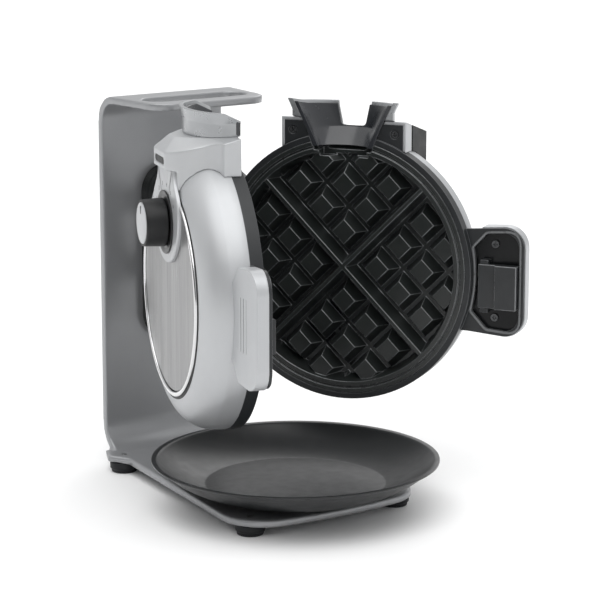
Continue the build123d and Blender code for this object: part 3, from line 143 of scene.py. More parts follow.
# Finishes: "tones" are linear colours, "stretch" squeezes the pattern along x, y, z for brushed
# metal, "speck" is the colour of fine flakes or worn grains. plainLook holds for what a finish
# leaves out
plainLook = {
    "metal": 0, "ior": 1.5, "shine": 0.5, "coat": 0, "coatRough": 0.2, "anisotropic": 0,
    "stretch": (1, 1, 1), "toneScale": 25, "roughScale": 120, "relief": 0.15, "reliefScale": 1500,
    "speckScale": 2600, "speckStart": 0.62, "speckShare": 0.5,
}
finishLooks = {
    "standPaint": {
        "tones": ((0.31, 0.315, 0.325), (0.34, 0.345, 0.355)), "metal": 0.45, "rough": (0.34, 0.4),
        "toneScale": 9, "speck": (0.45, 0.46, 0.48), "speckShare": 0.35,
        "relief": 0.1, "reliefScale": 2200, "coat": 0.15,
    },
    "shellLacquer": {
        "tones": ((0.48, 0.49, 0.505), (0.52, 0.53, 0.54)), "metal": 0.5, "rough": (0.38, 0.44),
        "toneScale": 8, "speck": (0.62, 0.63, 0.64), "speckShare": 0.25,
        "relief": 0.04, "reliefScale": 2400,
    },
    "collarLacquer": {
        "tones": ((0.37, 0.38, 0.39), (0.41, 0.42, 0.43)), "metal": 0.7, "rough": (0.26, 0.32),
        "toneScale": 10, "speck": (0.5, 0.51, 0.52), "speckShare": 0.2,
        "relief": 0.04, "reliefScale": 2400,
    },
    "brushedSteel": {
        "tones": ((0.23, 0.23, 0.235), (0.33, 0.33, 0.33)), "metal": 1.0, "rough": (0.26, 0.38),
        "toneScale": 9, "stretch": (10, 10, 0.35), "roughScale": 70,
        "relief": 0.16, "reliefScale": 260, "anisotropic": 0.4,
    },
    "polishedSteel": {
        "tones": ((0.62, 0.62, 0.63), (0.70, 0.70, 0.70)), "metal": 1.0, "rough": (0.12, 0.18),
        "relief": 0.04,
    },
    "turnedSteel": {
        "tones": ((0.42, 0.42, 0.42), (0.55, 0.55, 0.55)), "metal": 1.0, "rough": (0.25, 0.36),
        "relief": 0.12,
    },
    "tintedSteel": {
        "tones": ((0.13, 0.10, 0.08), (0.24, 0.22, 0.21)), "metal": 0.9, "rough": (0.4, 0.55),
        "relief": 0.2,
    },
    "millAluminium": {
        "tones": ((0.55, 0.55, 0.56), (0.66, 0.66, 0.67)), "metal": 1.0, "rough": (0.33, 0.45),
    },
    "frameGrey": {
        "tones": ((0.014, 0.0155, 0.017), (0.021, 0.023, 0.025)), "rough": (0.32, 0.42),
        "toneScale": 14, "shine": 0.45, "relief": 0.12,
    },
    # Lighter grey for the bezel's bevels: a painted highlight along its edges
    "frameHighlight": {
        "tones": ((0.10, 0.105, 0.11), (0.14, 0.145, 0.15)), "metal": 0.4, "rough": (0.25, 0.32),
        "relief": 0.05,
    },
    "grooveShade": {
        "tones": ((0.10, 0.102, 0.107), (0.14, 0.143, 0.148)), "metal": 0.2, "rough": (0.45, 0.55),
        "relief": 0.05, "shine": 0.3,
    },
    # Lighter grey for the bead round the tub's lip: a painted highlight on the rim
    "rimHighlight": {
        "tones": ((0.13, 0.135, 0.14), (0.18, 0.185, 0.19)), "metal": 0.3, "rough": (0.25, 0.32),
        "relief": 0.05,
    },
    "latchGrey": {
        "tones": ((0.018, 0.0195, 0.021), (0.027, 0.029, 0.031)), "rough": (0.30, 0.40),
        "shine": 0.45,
    },
    # Lighter grey for the latch's bevels: a painted highlight along its edges
    "latchHighlight": {
        "tones": ((0.15, 0.155, 0.16), (0.2, 0.205, 0.21)), "metal": 0.4, "rough": (0.25, 0.32),
        "relief": 0.05,
    },
    "screwGrey": {
        "tones": ((0.07, 0.072, 0.075), (0.11, 0.113, 0.117)), "metal": 0.8, "rough": (0.25, 0.35),
        "relief": 0.1,
    },
    "nonstick": {
        "tones": ((0.013, 0.0155, 0.015), (0.020, 0.0225, 0.022)), "rough": (0.28, 0.36),
        "toneScale": 30, "speck": (0.06, 0.067, 0.064), "speckStart": 0.66, "speckShare": 0.35,
        "speckScale": 1900, "relief": 0.2, "reliefScale": 900, "coat": 0.1, "coatRough": 0.25,
    },
    # Lighter grey for the plate's bevels round the studs and ridges: a painted highlight along
    # their edges
    "nonstickHighlight": {
        "tones": ((0.12, 0.127, 0.13), (0.18, 0.187, 0.19)), "metal": 0.6, "rough": (0.24, 0.32),
        "toneScale": 40, "relief": 0.1, "reliefScale": 900,
    },
    "linerGrey": {
        "tones": ((0.022, 0.024, 0.028), (0.032, 0.034, 0.039)), "rough": (0.2, 0.28),
        "toneScale": 14, "relief": 0.1, "reliefScale": 1200, "coat": 0.3, "coatRough": 0.12,
    },
    "dishEnamel": {
        "tones": ((0.010, 0.011, 0.012), (0.016, 0.017, 0.018)), "rough": (0.30, 0.37),
        "toneScale": 10, "speck": (0.08, 0.08, 0.08), "speckStart": 0.68, "speckShare": 0.3,
        "relief": 0.12, "reliefScale": 1400,
    },
    "tubBlack": {
        "tones": ((0.006, 0.0065, 0.007), (0.010, 0.0105, 0.0115)), "rough": (0.16, 0.24),
        "relief": 0.05, "shine": 0.2,
    },
    "footRubber": {
        "tones": ((0.006, 0.007, 0.009), (0.011, 0.012, 0.014)), "rough": (0.5, 0.62),
        "relief": 0.3, "shine": 0.35,
    },
    "bracketBlack": {
        "tones": ((0.007, 0.0085, 0.0085), (0.012, 0.0135, 0.0135)), "rough": (0.35, 0.45),
        "relief": 0.2, "shine": 0.22,
    },
    "knobBlack": {
        "tones": ((0.007, 0.0075, 0.008), (0.012, 0.0125, 0.0135)), "rough": (0.38, 0.46),
        "relief": 0.25, "reliefScale": 1800, "shine": 0.35,
    },
    "ringBlack": {
        "tones": ((0.010, 0.011, 0.012), (0.016, 0.017, 0.018)), "rough": (0.3, 0.36),
        "relief": 0.12, "shine": 0.4,
    },
    "capGrey": {
        "tones": ((0.42, 0.43, 0.445), (0.48, 0.49, 0.505)), "metal": 0.2, "rough": (0.3, 0.38),
        "relief": 0.1,
    },
    "markGrey": {
        "tones": ((0.05, 0.05, 0.055), (0.08, 0.08, 0.085)), "rough": (0.5, 0.6),
        "relief": 0.05, "shine": 0.3,
    },
    "controlBlack": {
        "tones": ((0.008, 0.008, 0.009), (0.014, 0.014, 0.015)), "rough": (0.45, 0.55),
        "relief": 0.2, "shine": 0.35,
    },
    "windowSmoke": {
        "tones": ((0.006, 0.0065, 0.0075), (0.010, 0.0105, 0.012)), "rough": (0.3, 0.4),
        "relief": 0.02, "shine": 0.08,
    },
    "lampRed": {
        "tones": ((0.45, 0.03, 0.02), (0.55, 0.05, 0.03)), "rough": (0.15, 0.2), "relief": 0.03,
    },
    "cordBlack": {
        "tones": ((0.006, 0.0065, 0.007), (0.010, 0.0105, 0.011)), "rough": (0.4, 0.5),
        "relief": 0.2, "shine": 0.2,
    },
    "floorPaper": {
        "tones": ((0.97, 0.97, 0.97), (0.98, 0.98, 0.98)), "rough": (0.7, 0.8), "toneScale": 3,
        "relief": 0.02,
    },
}
# Noises of all finishes: detail of each, and the band of a noise that is spread over a range
noiseLook = {
    "toneDetail": 4, "speckDetail": 2, "fineDetail": 3, "roughness": 0.6,
    "low": 0.3, "high": 0.7, "speckBand": 0.08, "bumpDepth": 0.0001,
}


# A shader node with its inputs set, "_" in a name standing for a space
def node(material, kind, **values):
    made = material.node_tree.nodes.new("ShaderNode" + kind)
    for key, value in values.items():
        made.inputs[key.replace("_", " ")].default_value = value
    return made


# One finish: two tones drift into each other, roughness and a fine relief follow their own noises
def makeFinish(name, given):
    look = plainLook | given
    material = bpy.data.materials.new(name)
    material.use_nodes = True
    link = material.node_tree.links.new
    shader = material.node_tree.nodes["Principled BSDF"]
    for key, source in (("Metallic", "metal"), ("IOR", "ior"), ("Specular IOR Level", "shine"),
                        ("Coat Weight", "coat"), ("Coat Roughness", "coatRough"),
                        ("Anisotropic", "anisotropic")):
        shader.inputs[key].default_value = look[source]
    coords = node(material, "TexCoord")
    stretched = node(material, "Mapping", Scale=look["stretch"])
    link(coords.outputs["Object"], stretched.inputs["Vector"])

    def noise(scale, detail, source=stretched.outputs["Vector"]):
        made = node(material, "TexNoise", Scale=scale, Detail=detail,
                    Roughness=noiseLook["roughness"])
        link(source, made.inputs["Vector"])
        return made.outputs["Fac"]

    def spread(source, low, high, start=noiseLook["low"], end=noiseLook["high"]):
        made = node(material, "MapRange", From_Min=start, From_Max=end, To_Min=low, To_Max=high)
        link(source, made.inputs["Value"])
        return made.outputs["Result"]

    # Colour a where the share is 0 and colour b where it is 1; an output in place of a is linked
    def mixed(a, b, share):
        made = material.node_tree.nodes.new("ShaderNodeMix")
        made.data_type = "RGBA"
        if isinstance(a, tuple):
            made.inputs["A"].default_value = (*a, 1)
        else:
            link(a, made.inputs["A"])
        made.inputs["B"].default_value = (*b, 1)
        link(share, made.inputs["Factor"])
        return made.outputs["Result"]

    dark, light = look["tones"]
    fine = noiseLook["fineDetail"]
    share = spread(noise(look["toneScale"], noiseLook["toneDetail"]), 0, 1)
    colour = mixed(dark, light, share)
    if "speck" in look:
        grain = noise(look["speckScale"], noiseLook["speckDetail"], coords.outputs["Object"])
        start = look["speckStart"]
        share = spread(grain, 0, look["speckShare"], start, start + noiseLook["speckBand"])
        colour = mixed(colour, look["speck"], share)
    link(colour, shader.inputs["Base Color"])
    link(spread(noise(look["roughScale"], fine), *look["rough"]), shader.inputs["Roughness"])
    height = node(material, "Bump", Strength=look["relief"], Distance=noiseLook["bumpDepth"])
    link(noise(look["reliefScale"], fine), height.inputs["Height"])
    link(height.outputs["Normal"], shader.inputs["Normal"])
    return material


finishes = {name: makeFinish(name, look) for name, look in finishLooks.items()}
print("finishes:", len(finishes))


# Vertices closer than this, in metres, are merged: in made surfaces, in CAD meshes, in the floor
merge = {"made": 2e-7, "degenerate": 1e-8, "cad": 2e-6, "floor": 1e-5}


# Ways to make a piece. Edges sharper than crease degrees stay sharp
def finished(mesh, name, body, finish, replaced, crease):
    mesh.materials.clear()
    mesh.materials.append(finishes[finish])
    mesh.polygons.foreach_set("material_index", np.zeros(len(mesh.polygons), int))
    mesh.polygons.foreach_set("use_smooth", np.ones(len(mesh.polygons), bool))
    mesh.set_sharp_from_angle(angle=math.radians(crease))
    piece = bpy.data.objects.new(name, mesh)
    scene.collection.objects.link(piece)
    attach(piece, body)
    if replaced:
        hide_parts(*replaced)
    return piece


# Surfaces given as (points, faces) become one mesh: doubles merged, normals turned outwards
def makePiece(name, parts, body, finish, replaced=(), crease=30):
    counts = np.cumsum([0] + [points.reshape(-1, 3).shape[0] for points, faces in parts])
    points = np.concatenate([points.reshape(-1, 3) for points, faces in parts]) * mm
    faces = np.concatenate([faces + start for (_, faces), start in zip(parts, counts)])
    mesh = bpy.data.meshes.new(name)
    mesh.from_pydata(points, [], faces.tolist())
    work = bmesh.new()
    work.from_mesh(mesh)
    bmesh.ops.remove_doubles(work, verts=work.verts, dist=merge["made"])
    bmesh.ops.dissolve_degenerate(work, edges=work.edges, dist=merge["degenerate"])
    bmesh.ops.recalc_face_normals(work, faces=work.faces)
    work.to_mesh(mesh)
    work.free()
    return finished(mesh, name, body, finish, replaced, crease)


# A copy of a CAD node's mesh with doubles merged and, where flat is given, the faces joined that
# meet at less than flat degrees
def copied(name, source, flat=None):
    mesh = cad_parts[source].data.copy()
    mesh.name = name
    work = bmesh.new()
    work.from_mesh(mesh)
    bmesh.ops.remove_doubles(work, verts=work.verts, dist=merge["cad"])
    if flat:
        bmesh.ops.dissolve_limit(work, angle_limit=math.radians(flat), verts=work.verts,
                                 edges=work.edges)
    work.to_mesh(mesh)
    work.free()
    if "custom_normal" in mesh.attributes:
        mesh.attributes.remove(mesh.attributes["custom_normal"])
    return mesh


soft = {"flat": 0.6, "angle": 28, "segments": 2, "weight": 60}
cast = {"crease": 180, "relax": 0.5}


# A CAD node's form with a bevel of the given width on its edges; where an edge finish is named,
# the bevels take it, a lighter finish that paints highlights on the edges
def softened(name, source, body, finish, width, edge=None):
    mesh = copied(name, source, soft["flat"])
    piece = finished(mesh, name, body, finish, (source,), soft["angle"])
    bevel = piece.modifiers.new("edges", "BEVEL")
    bevel.width = width * mm
    bevel.segments = soft["segments"]
    bevel.limit_method = "ANGLE"
    bevel.angle_limit = math.radians(soft["angle"])
    bevel.use_clamp_overlap = False
    bevel.loop_slide = False
    bevel.miter_outer = "MITER_ARC"
    if edge:
        mesh.materials.append(finishes[edge])
        bevel.material = 1
    even = piece.modifiers.new("shading", "WEIGHTED_NORMAL")
    even.keep_sharp = True
    even.weight = soft["weight"]


# A CAD node's form cast anew in even cells, then relaxed, so that every edge is a small round
def recast(name, source, body, finish, cell, passes):
    piece = finished(copied(name, source), name, body, finish, (source,),
                     cast["crease"])
    cells = piece.modifiers.new("cells", "REMESH")
    cells.mode = "VOXEL"
    cells.voxel_size = cell * mm
    cells.use_smooth_shade = True
    relaxed = piece.modifiers.new("relaxed", "SMOOTH")
    relaxed.iterations = passes
    relaxed.factor = cast["relax"]


# Stand and hinge bracket
recast("stand_sheet", "stand", "stand", "standPaint", cell=1.25, passes=3)
recast("bracket_plate", "hinge_bracket", "stand", "bracketBlack", cell=0.7,
       passes=3)

bracket = {
    "half": 20.0, "straight": 47.5, "back": 178.6, "front": 170.2, "inside": 2.0,
    "ribs": 4, "ribHeight": 0.9, "arcSteps": 33, "depthSteps": 49,
}


# Ribs round the plate's edge: the oblong outline pushed out by ribHeight sin^2(ribs pi t) over
# its depth, and closed by a wall inside the plate
def bracketRibs():
    angle = np.linspace(0, math.pi, bracket["arcSteps"])
    upper = np.stack([np.cos(angle), np.sin(angle)], -1)
    outward = np.concatenate([upper, -upper])
    straight = np.repeat([bracket["straight"], -bracket["straight"]], len(angle))
    x, z = outward[:, 0] * bracket["half"], outward[:, 1] * bracket["half"] + straight
    t = np.linspace(0, 1, bracket["depthSteps"])
    ribs = bracket["ribHeight"] * np.sin(math.pi * bracket["ribs"] * t) ** 2
    push = np.concatenate([ribs, [-bracket["inside"]] * 2])
    y = bracket["front"] + (bracket["back"] - bracket["front"]) * t
    y = np.concatenate([y, [bracket["back"], bracket["front"]]])
    shape = (len(x), len(y))
    px = x[:, None] + outward[:, :1] * push[None]
    pz = hinge["z"] + z[:, None] + outward[:, 1:] * push[None]
    return np.stack([px, np.broadcast_to(y, shape), pz], -1), gridFaces(*shape, True, True)


makePiece("bracket_ribs", [bracketRibs()], "stand", "bracketBlack", crease=50)

# Feet: corners are (radius, height, cut), from the well in the sole round to the screw's bore
foot = {
    "radius": 10.7, "sole": 9.4, "flare": 0.4, "step": 2.6, "stepTop": 3.1, "height": 7.9,
    "well": 4.7, "wellTop": 4.6, "bore": 2.1, "steps": 72,
}
footLoop = rounded([
    (foot["well"], 0, 0.3), (foot["sole"], 0, 0.8),
    (foot["sole"] + foot["flare"], foot["step"], 0.4), (foot["radius"], foot["stepTop"], 0.5),
    (foot["radius"], foot["height"], 0.3), (foot["bore"], foot["height"], 0),
    (foot["bore"], foot["wellTop"], 0), (foot["well"], foot["wellTop"], 0),
])
for corner in ("front_left", "front_right", "rear_left", "rear_right"):
    low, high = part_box("foot_" + corner)
    middle = ((low[0] + high[0]) / 2 / mm, (low[1] + high[1]) / 2 / mm)
    makePiece("foot_pad_" + corner, [spun(upright(middle), footLoop, foot["steps"])], "stand",
              "footRubber", ("foot_" + corner,))
print("stand done")

# Catch tray: from the axis out over the foot ring and the bowed outer wall to the rim, and back
# down the bowed inner wall over the floor
tray = {
    "under": 15.9, "floor": 18.9, "flat": 66.0, "ringInner": 52, "ringOuter": 57, "ringLow": 13.4,
    "rim": 105.0, "rimLow": 36.6, "rimTop": 37.9, "lip": 101.0, "lipLow": 34.9, "bulge": 2.5,
    "lipInner": (100.6, 37.1), "lipOuter": (101.6, 37.6), "steps": 224,
}
outerWall = bowed((tray["flat"], tray["under"]), (tray["lip"], tray["lipLow"]), -tray["bulge"])
innerWall = bowed(tray["lipInner"], (tray["flat"], tray["floor"]), tray["bulge"])
trayLoop = rounded([
    (0, tray["under"], 0), (tray["ringInner"], tray["under"], 0.6),
    (tray["ringInner"], tray["ringLow"], 0.6), (tray["ringOuter"], tray["ringLow"], 0.6),
    (tray["ringOuter"], tray["under"], 0.6), *withCut(outerWall, 0.8),
    (tray["rim"], tray["rimLow"], 0.5), (tray["rim"], tray["rimTop"], 0.5),
    (*tray["lipOuter"], 0.4), *withCut(innerWall, 0.8), (0, tray["floor"], 0),
], steps=3)
makePiece("tray_dish", [spun(upright((0, 0)), trayLoop, tray["steps"], closed=False)], "tray",
          "dishEnamel", ("catch_tray",), crease=40)
print("tray done")

# Covers of both halves. Corners are (radius, out); within gateHalf degrees of the top, where the
# funnel comes in, the shell's edge is lifted to gateOut
shell = {
    "edge": (101.0, 9.6), "bend": (101.0, 14.0), "crease": (99.6, 23.0), "shoulder": (78.0, 41.5),
    "bulge": 4.0, "hole": 76.3, "seat": 39.5, "inner": 69.6, "innerTop": (79.0, 37.1),
    "innerCrease": (97.2, 23.0), "innerBulge": 3.6, "innerBend": (98.6, 14.0),
    "innerEdge": (98.6, 9.6), "gateOut": 26.0, "gateHalf": (16.5, 19.5), "steps": 256,
    "arcSteps": 24,
}


# Shell: the profile carried round, with out = max(profile, gate) and the radius read off the
# outer or inner line at that height
def shellSurface(half):
    arc = bowed(shell["crease"], shell["shoulder"], -shell["bulge"], shell["arcSteps"])
    inArc = bowed(shell["innerTop"], shell["innerCrease"], shell["innerBulge"])
    faceOut, underOut = shell["shoulder"][1], shell["innerTop"][1]
    corners = [
        (*shell["edge"], 0.3), (*shell["bend"], 1.6), (*arc[0], 1.6), *withCut(arc[1:-1], 0.3),
        (*arc[-1], 1.3), (shell["hole"], faceOut, 0.4), (shell["hole"], shell["seat"], 0.3),
        (shell["inner"], shell["seat"], 0.3), (shell["inner"], underOut, 0.3),
        *withCut(inArc, 0.3), (*shell["innerBend"], 0.5), (*shell["innerEdge"], 0.3),
    ]
    profile = rounded(corners)
    angle = np.linspace(-180, 180, shell["steps"], endpoint=False)[:, None]
    near, far = shell["gateHalf"]
    lift = np.clip((far - np.abs(angle)) / (far - near), 0, 1)
    gate = shell["edge"][1] + (shell["gateOut"] - shell["edge"][1]) * lift * lift * (3 - 2 * lift)
    out = np.maximum(profile[:, 1][None], gate)
    outerLine = np.array([shell["edge"], shell["bend"], *arc])
    innerLine = np.array([*inArc, shell["innerBend"], shell["innerEdge"]])[::-1]
    onOuter = np.interp(out, outerLine[:, 1], outerLine[:, 0])
    onInner = np.interp(out, innerLine[:, 1], innerLine[:, 0])
    # outer points reach half way round the corner at the hole
    outer = np.arange(len(profile)) < len(profile) * (len(arc) + 2.5) / len(corners)
    raised = out > profile[:, 1][None] + 1e-9
    radius = np.where(raised, np.where(outer[None], onOuter, onInner), profile[:, 0][None])
    turn = np.radians(angle)
    points = onHalf(half, radius * np.sin(turn), out, radius * np.cos(turn))
    return points, gridFaces(shell["steps"], len(profile), True, True)


# Polygon drawn in: every side moves by inset, neighbours meet where (p - a) x d = 0 for both
def drawnIn(corners, inset):
    point = np.array(corners, float)
    side = np.roll(point, -1, 0) - point
    side /= np.linalg.norm(side, axis=1, keepdims=True)
    moved = point + np.stack([-side[:, 1], side[:, 0]], -1) * inset
    before, start = np.roll(side, 1, 0), np.roll(moved, 1, 0)
    gap = moved - start
    across = before[:, 0] * side[:, 1] - before[:, 1] * side[:, 0]
    t = (gap[:, 0] * side[:, 1] - gap[:, 1] * side[:, 0]) / across
    return start + before * t[:, None]


# Tub in a handle: its outline widens from nearHalf to farHalf and is cut by the disc. The rings
# of its lining and of the bead round its lip are (inset, out)
tub = {
    "start": 97.0, "end": 140.6, "middle": -3.8, "nearHalf": 39.2, "farHalf": 42.6,
    "shoulder": 27.0, "shoulderLength": 12.0, "disc": 103.0, "wall": 4.66, "lip": 7.2,
    "floor": 11.94, "corner": 10.0, "bead": 0.5, "arcSteps": 14, "searchSteps": 801,
}
tubTop = tub["lip"] - tub["bead"]
tubRings = [
    (-0.9, tub["floor"] + 0.7), (-0.9, tub["lip"] + 1.0), (0.0, tub["lip"] + 0.9),
    (0.04, tub["floor"] - 0.5), (0.5, tub["floor"]),
]
beadRings = [
    (-1.8, tub["lip"] + 0.3), (-1.7, tubTop + 0.1), (-1.4, tubTop), (-0.4, tubTop),
    (-0.05, tubTop + 0.25), (0.09, tub["lip"] + 0.5), (0.11, tub["lip"] + 2.6),
    (-0.6, tub["lip"] + 2.6),
]


# The outline's two side lines end where they come out of the disc, and an arc of it joins them
def tubOutline():
    grow = (tub["farHalf"] - tub["nearHalf"]) / (tub["end"] - tub["start"])
    shoulderHalf = tub["nearHalf"] + grow * tub["shoulderLength"]
    far = tub["start"] + tub["shoulderLength"]
    corners = [
        (tub["start"], -tub["shoulder"]), (far, -shoulderHalf), (tub["end"], -tub["farHalf"]),
        (tub["end"], tub["farHalf"]), (far, shoulderHalf), (tub["start"], tub["shoulder"]),
    ]
    shape = drawnIn(corners, tub["wall"]) + (0, tub["middle"])
    ends = []
    for near, away in ((shape[5], shape[4]), (shape[0], shape[1])):
        line = near + (away - near) * np.linspace(-1, 1, tub["searchSteps"])[:, None]
        ends.append(line[np.argmax(np.linalg.norm(line, axis=1) > tub["disc"])])
    first, last = (math.atan2(end[1], end[0]) for end in ends)
    turn = np.linspace(first, last, tub["arcSteps"])
    arc = tub["disc"] * np.stack([np.cos(turn), np.sin(turn)], -1)
    return rounded([
        (*shape[1], 2), (*shape[2], tub["corner"]), (*shape[3], tub["corner"]), (*shape[4], 2),
        (*arc[0], 1), *withCut(arc[1:-1], 0.8), (*arc[-1], 1),
    ], steps=7)


# The bead is the pad of its rings without the ends, closed into a ring
def tubBead(half, outline):
    points, _ = pad(onFace(half), outline, beadRings)
    return points[1:-1], gridFaces(len(beadRings), len(outline), True, True)


# Steel disc in the cover, the polished bead round it, and a dark ring round the bead: painted
# shade standing in for the shadowed gap between bead and cover
insert = {
    "face": 42.3, "seat": 39.6, "disc": 71.3, "discSteps": 200, "ringSteps": 220,
    "beadInner": 71.9, "beadOuter": 75.6, "beadTop": 43.6, "gapShadeInner": 75.62,
    "gapShadeOuter": 77.2, "gapShadeLow": 41.2, "gapShadeEdge": 41.8, "gapShadeTop": 42.2,
}
seat = insert["seat"]
discLoop = rounded([
    (0, seat, 0), (insert["disc"], seat, 0.2), (insert["disc"], insert["face"], 0.5),
    (0, insert["face"], 0),
])
beadLoop = rounded([
    (insert["beadInner"], seat, 0.1), (insert["beadOuter"], seat, 0.1),
    (insert["beadOuter"], insert["beadTop"], 1.5), (insert["beadInner"], insert["beadTop"], 1.2),
], steps=6)
# Dark ring laid over the gap round the bead and the cover's edge: painted shade for the shadowed
# gap
gapShadeLoop = rounded([
    (insert["gapShadeInner"], insert["gapShadeLow"], 0),
    (insert["gapShadeOuter"], insert["gapShadeLow"], 0),
    (insert["gapShadeOuter"], insert["gapShadeEdge"], 0.3),
    (insert["gapShadeInner"], insert["gapShadeTop"], 0),
])
for half in halves:
    body = half + "_half"
    place = onFace(half)
    makePiece(half + "_cover", [shellSurface(half)], body, "shellLacquer",
              (half + "_shell",), crease=34)
    makePiece(half + "_disc", [spun(place, discLoop, insert["discSteps"], closed=False)], body,
              "brushedSteel", (half + "_insert",))
    makePiece(half + "_bead", [spun(place, beadLoop, insert["ringSteps"])], body,
              "polishedSteel", crease=60)
    makePiece(half + "_gap_shade", [spun(place, gapShadeLoop, insert["ringSteps"])], body,
              "controlBlack")
    # The bezel's and the plate's bevels take lighter finishes, painted highlights on their edges
    softened(half + "_bezel", half + "_frame", body, "frameGrey", width=0.2,
             edge="frameHighlight")
    softened(half + "_plate", half + "_cooking_plate", body, "nonstick",
             width=0.4, edge="nonstickHighlight")
    recast(half + "_crown", half + "_head", body, "shellLacquer", cell=0.55,
           passes=4)
    softened(half + "_liner", half + "_funnel", body, "linerGrey", width=0.3)
    recast(half + "_spout", half + "_collar", body, "collarLacquer", cell=0.35,
           passes=3)
    recast(half + "_grip", half + "_handle", body, "shellLacquer", cell=0.4,
           passes=2)
    outline = tubOutline()
    makePiece(half + "_tub", [pad(place, outline, tubRings)], body, "tubBlack",
              crease=40)
    # The bead round the tub's lip is lighter grey, a painted highlight on the rim
    makePiece(half + "_tub_rim", [tubBead(half, outline)], body, "rimHighlight",
              crease=50)
    print(half, "half done")

# Panel, dial and knob on the left half. The panel's rings are (inset, out)
panel = {
    "half": 36.0, "belly": 60.0, "tip": 21.5, "neck": 20.5, "neckBow": 21.0, "top": 90.0,
    "bow": 14, "face": 45.0, "lowSteps": 90, "sideSteps": 32,
    "rings": ((0, 42.3), (0, 44.0), (0.25, 44.6), (0.7, 44.9), (1.4, 45.0), (3.0, 45.0)),
}


# Panel outline: half an ellipse below the belly, then a cubic curve up to the neck on each side:
# (1 - t)^3 a + 3 t (1 - t)^2 b + 3 t^2 (1 - t) c + t^3 d
def panelOutline():
    turn = np.linspace(math.pi, 2 * math.pi, panel["lowSteps"])
    depth = panel["belly"] - panel["tip"]
    low = np.stack([panel["half"] * np.cos(turn), panel["belly"] + depth * np.sin(turn)], -1)
    t = np.linspace(0, 1, panel["sideSteps"])[1:, None]
    a, b, c, d = np.array([
        (panel["half"], panel["belly"]), (panel["half"], panel["belly"] + panel["bow"]),
        (panel["neckBow"], panel["top"] - panel["bow"]), (panel["neck"], panel["top"]),
    ])
    side = (1 - t) ** 3 * a + 3 * t * (1 - t) ** 2 * b + 3 * t * t * (1 - t) * c + t**3 * d
    return np.concatenate([low, side, side[::-1] * (-1, 1)])


onPanel = onFace("left")
makePiece("panel_face", [pad(onPanel, panelOutline(), panel["rings"])], "left_half",
          "shellLacquer", ("control_panel",), crease=40)

dial = {
    "w": 50.5, "steps": 128, "bore": 3.6, "ring": 22.7, "ringTop": 46.2, "ringInner": 20.6,
    "dish": 18.6, "dishOut": 45.6,
}
knob = {
    "radius": 16.6, "skirt": 17.4, "draft": 0.1, "back": 46.6, "skirtTop": 48.4, "face": 62.2,
    "cap": 14.8, "capSeat": 61.4, "capEdge": 62.5, "crown": 11.0, "crownTop": 62.9,
    "capTop": 63.0, "markHalfLong": 3.0, "markHalfWide": 0.9, "markUp": 9.4,
}
dialCentre = (0, dial["w"])
ringLoop = rounded([
    (dial["bore"], panel["face"], 0), (dial["ring"], panel["face"], 0.1),
    (dial["ring"], dial["ringTop"], 0.5), (dial["ringInner"], dial["ringTop"], 0.6),
    (dial["dish"], dial["dishOut"], 0.6), (dial["bore"], dial["dishOut"], 0),
])
makePiece("dial_dish", [spun(onPanel, ringLoop, dial["steps"], centre=dialCentre)], "left_half",
          "ringBlack", ("dial_ring",))
knobLoop = rounded([
    (0, knob["back"], 0), (knob["skirt"], knob["back"], 0.5),
    (knob["skirt"] - knob["draft"], knob["skirtTop"], 0.8), (knob["radius"], knob["face"], 1.3),
    (knob["cap"] + 0.5, knob["face"], 0.25), (knob["cap"] + 0.15, knob["capSeat"], 0.2),
    (0, knob["capSeat"], 0),
], steps=5)
makePiece("knob_grip", [spun(onPanel, knobLoop, dial["steps"], closed=False, centre=dialCentre)],
          "knob", "knobBlack", ("knob",), crease=40)
capLoop = rounded([
    (0, knob["capSeat"], 0), (knob["cap"], knob["capSeat"], 0.1),
    (knob["cap"], knob["capEdge"], 0.5), (knob["crown"], knob["crownTop"], 3),
    (0, knob["capTop"], 0),
], steps=5)
makePiece("knob_face", [spun(onPanel, capLoop, dial["steps"], closed=False, centre=dialCentre)],
          "knob", "capGrey", ("knob_cap",))
mark = stadium(knob["markHalfLong"], knob["markHalfWide"], (0, dial["w"] + knob["markUp"]))
markRings = [(0, knob["face"] + 0.2), (0, knob["face"] + 0.75), (0.15, knob["face"] + 0.85)]
makePiece("knob_mark", [pad(onPanel, mark, markRings)], "knob", "controlBlack")

numbers = {
    "texts": "123456", "size": 4.0, "radius": 27.6, "first": -62.0, "step": 24.0,
    "low": 44.9, "thick": 0.12, "curveSteps": 3,
}


# One digit as a raised text, moved to its angle round the dial
def digit(text, turn):
    curve = bpy.data.curves.new("number", "FONT")
    curve.body, curve.size, curve.extrude = text, numbers["size"], numbers["thick"] / 2
    curve.align_x, curve.align_y = "CENTER", "CENTER"
    curve.resolution_u = numbers["curveSteps"]
    holder = bpy.data.objects.new("number", curve)
    scene.collection.objects.link(holder)
    depsgraph = bpy.context.evaluated_depsgraph_get()
    flat = bpy.data.meshes.new_from_object(holder.evaluated_get(depsgraph))
    bpy.data.objects.remove(holder)
    xyz = np.zeros(len(flat.vertices) * 3)
    flat.vertices.foreach_get("co", xyz)
    x, y, z = xyz.reshape(-1, 3).T
    flat.calc_loop_triangles()
    corners = np.zeros(len(flat.loop_triangles) * 3, int)
    flat.loop_triangles.foreach_get("vertices", corners)
    u = x + numbers["radius"] * math.sin(turn)
    w = y + dial["w"] + numbers["radius"] * math.cos(turn)
    points = onHalf("left", u, z + numbers["low"] + numbers["thick"], w)
    return points, corners.reshape(-1, 3)


digits = [digit(text, math.radians(numbers["first"] + numbers["step"] * place))
          for place, text in enumerate(numbers["texts"])]
makePiece("dial_numbers", digits, "left_half", "markGrey")
print("dial done")

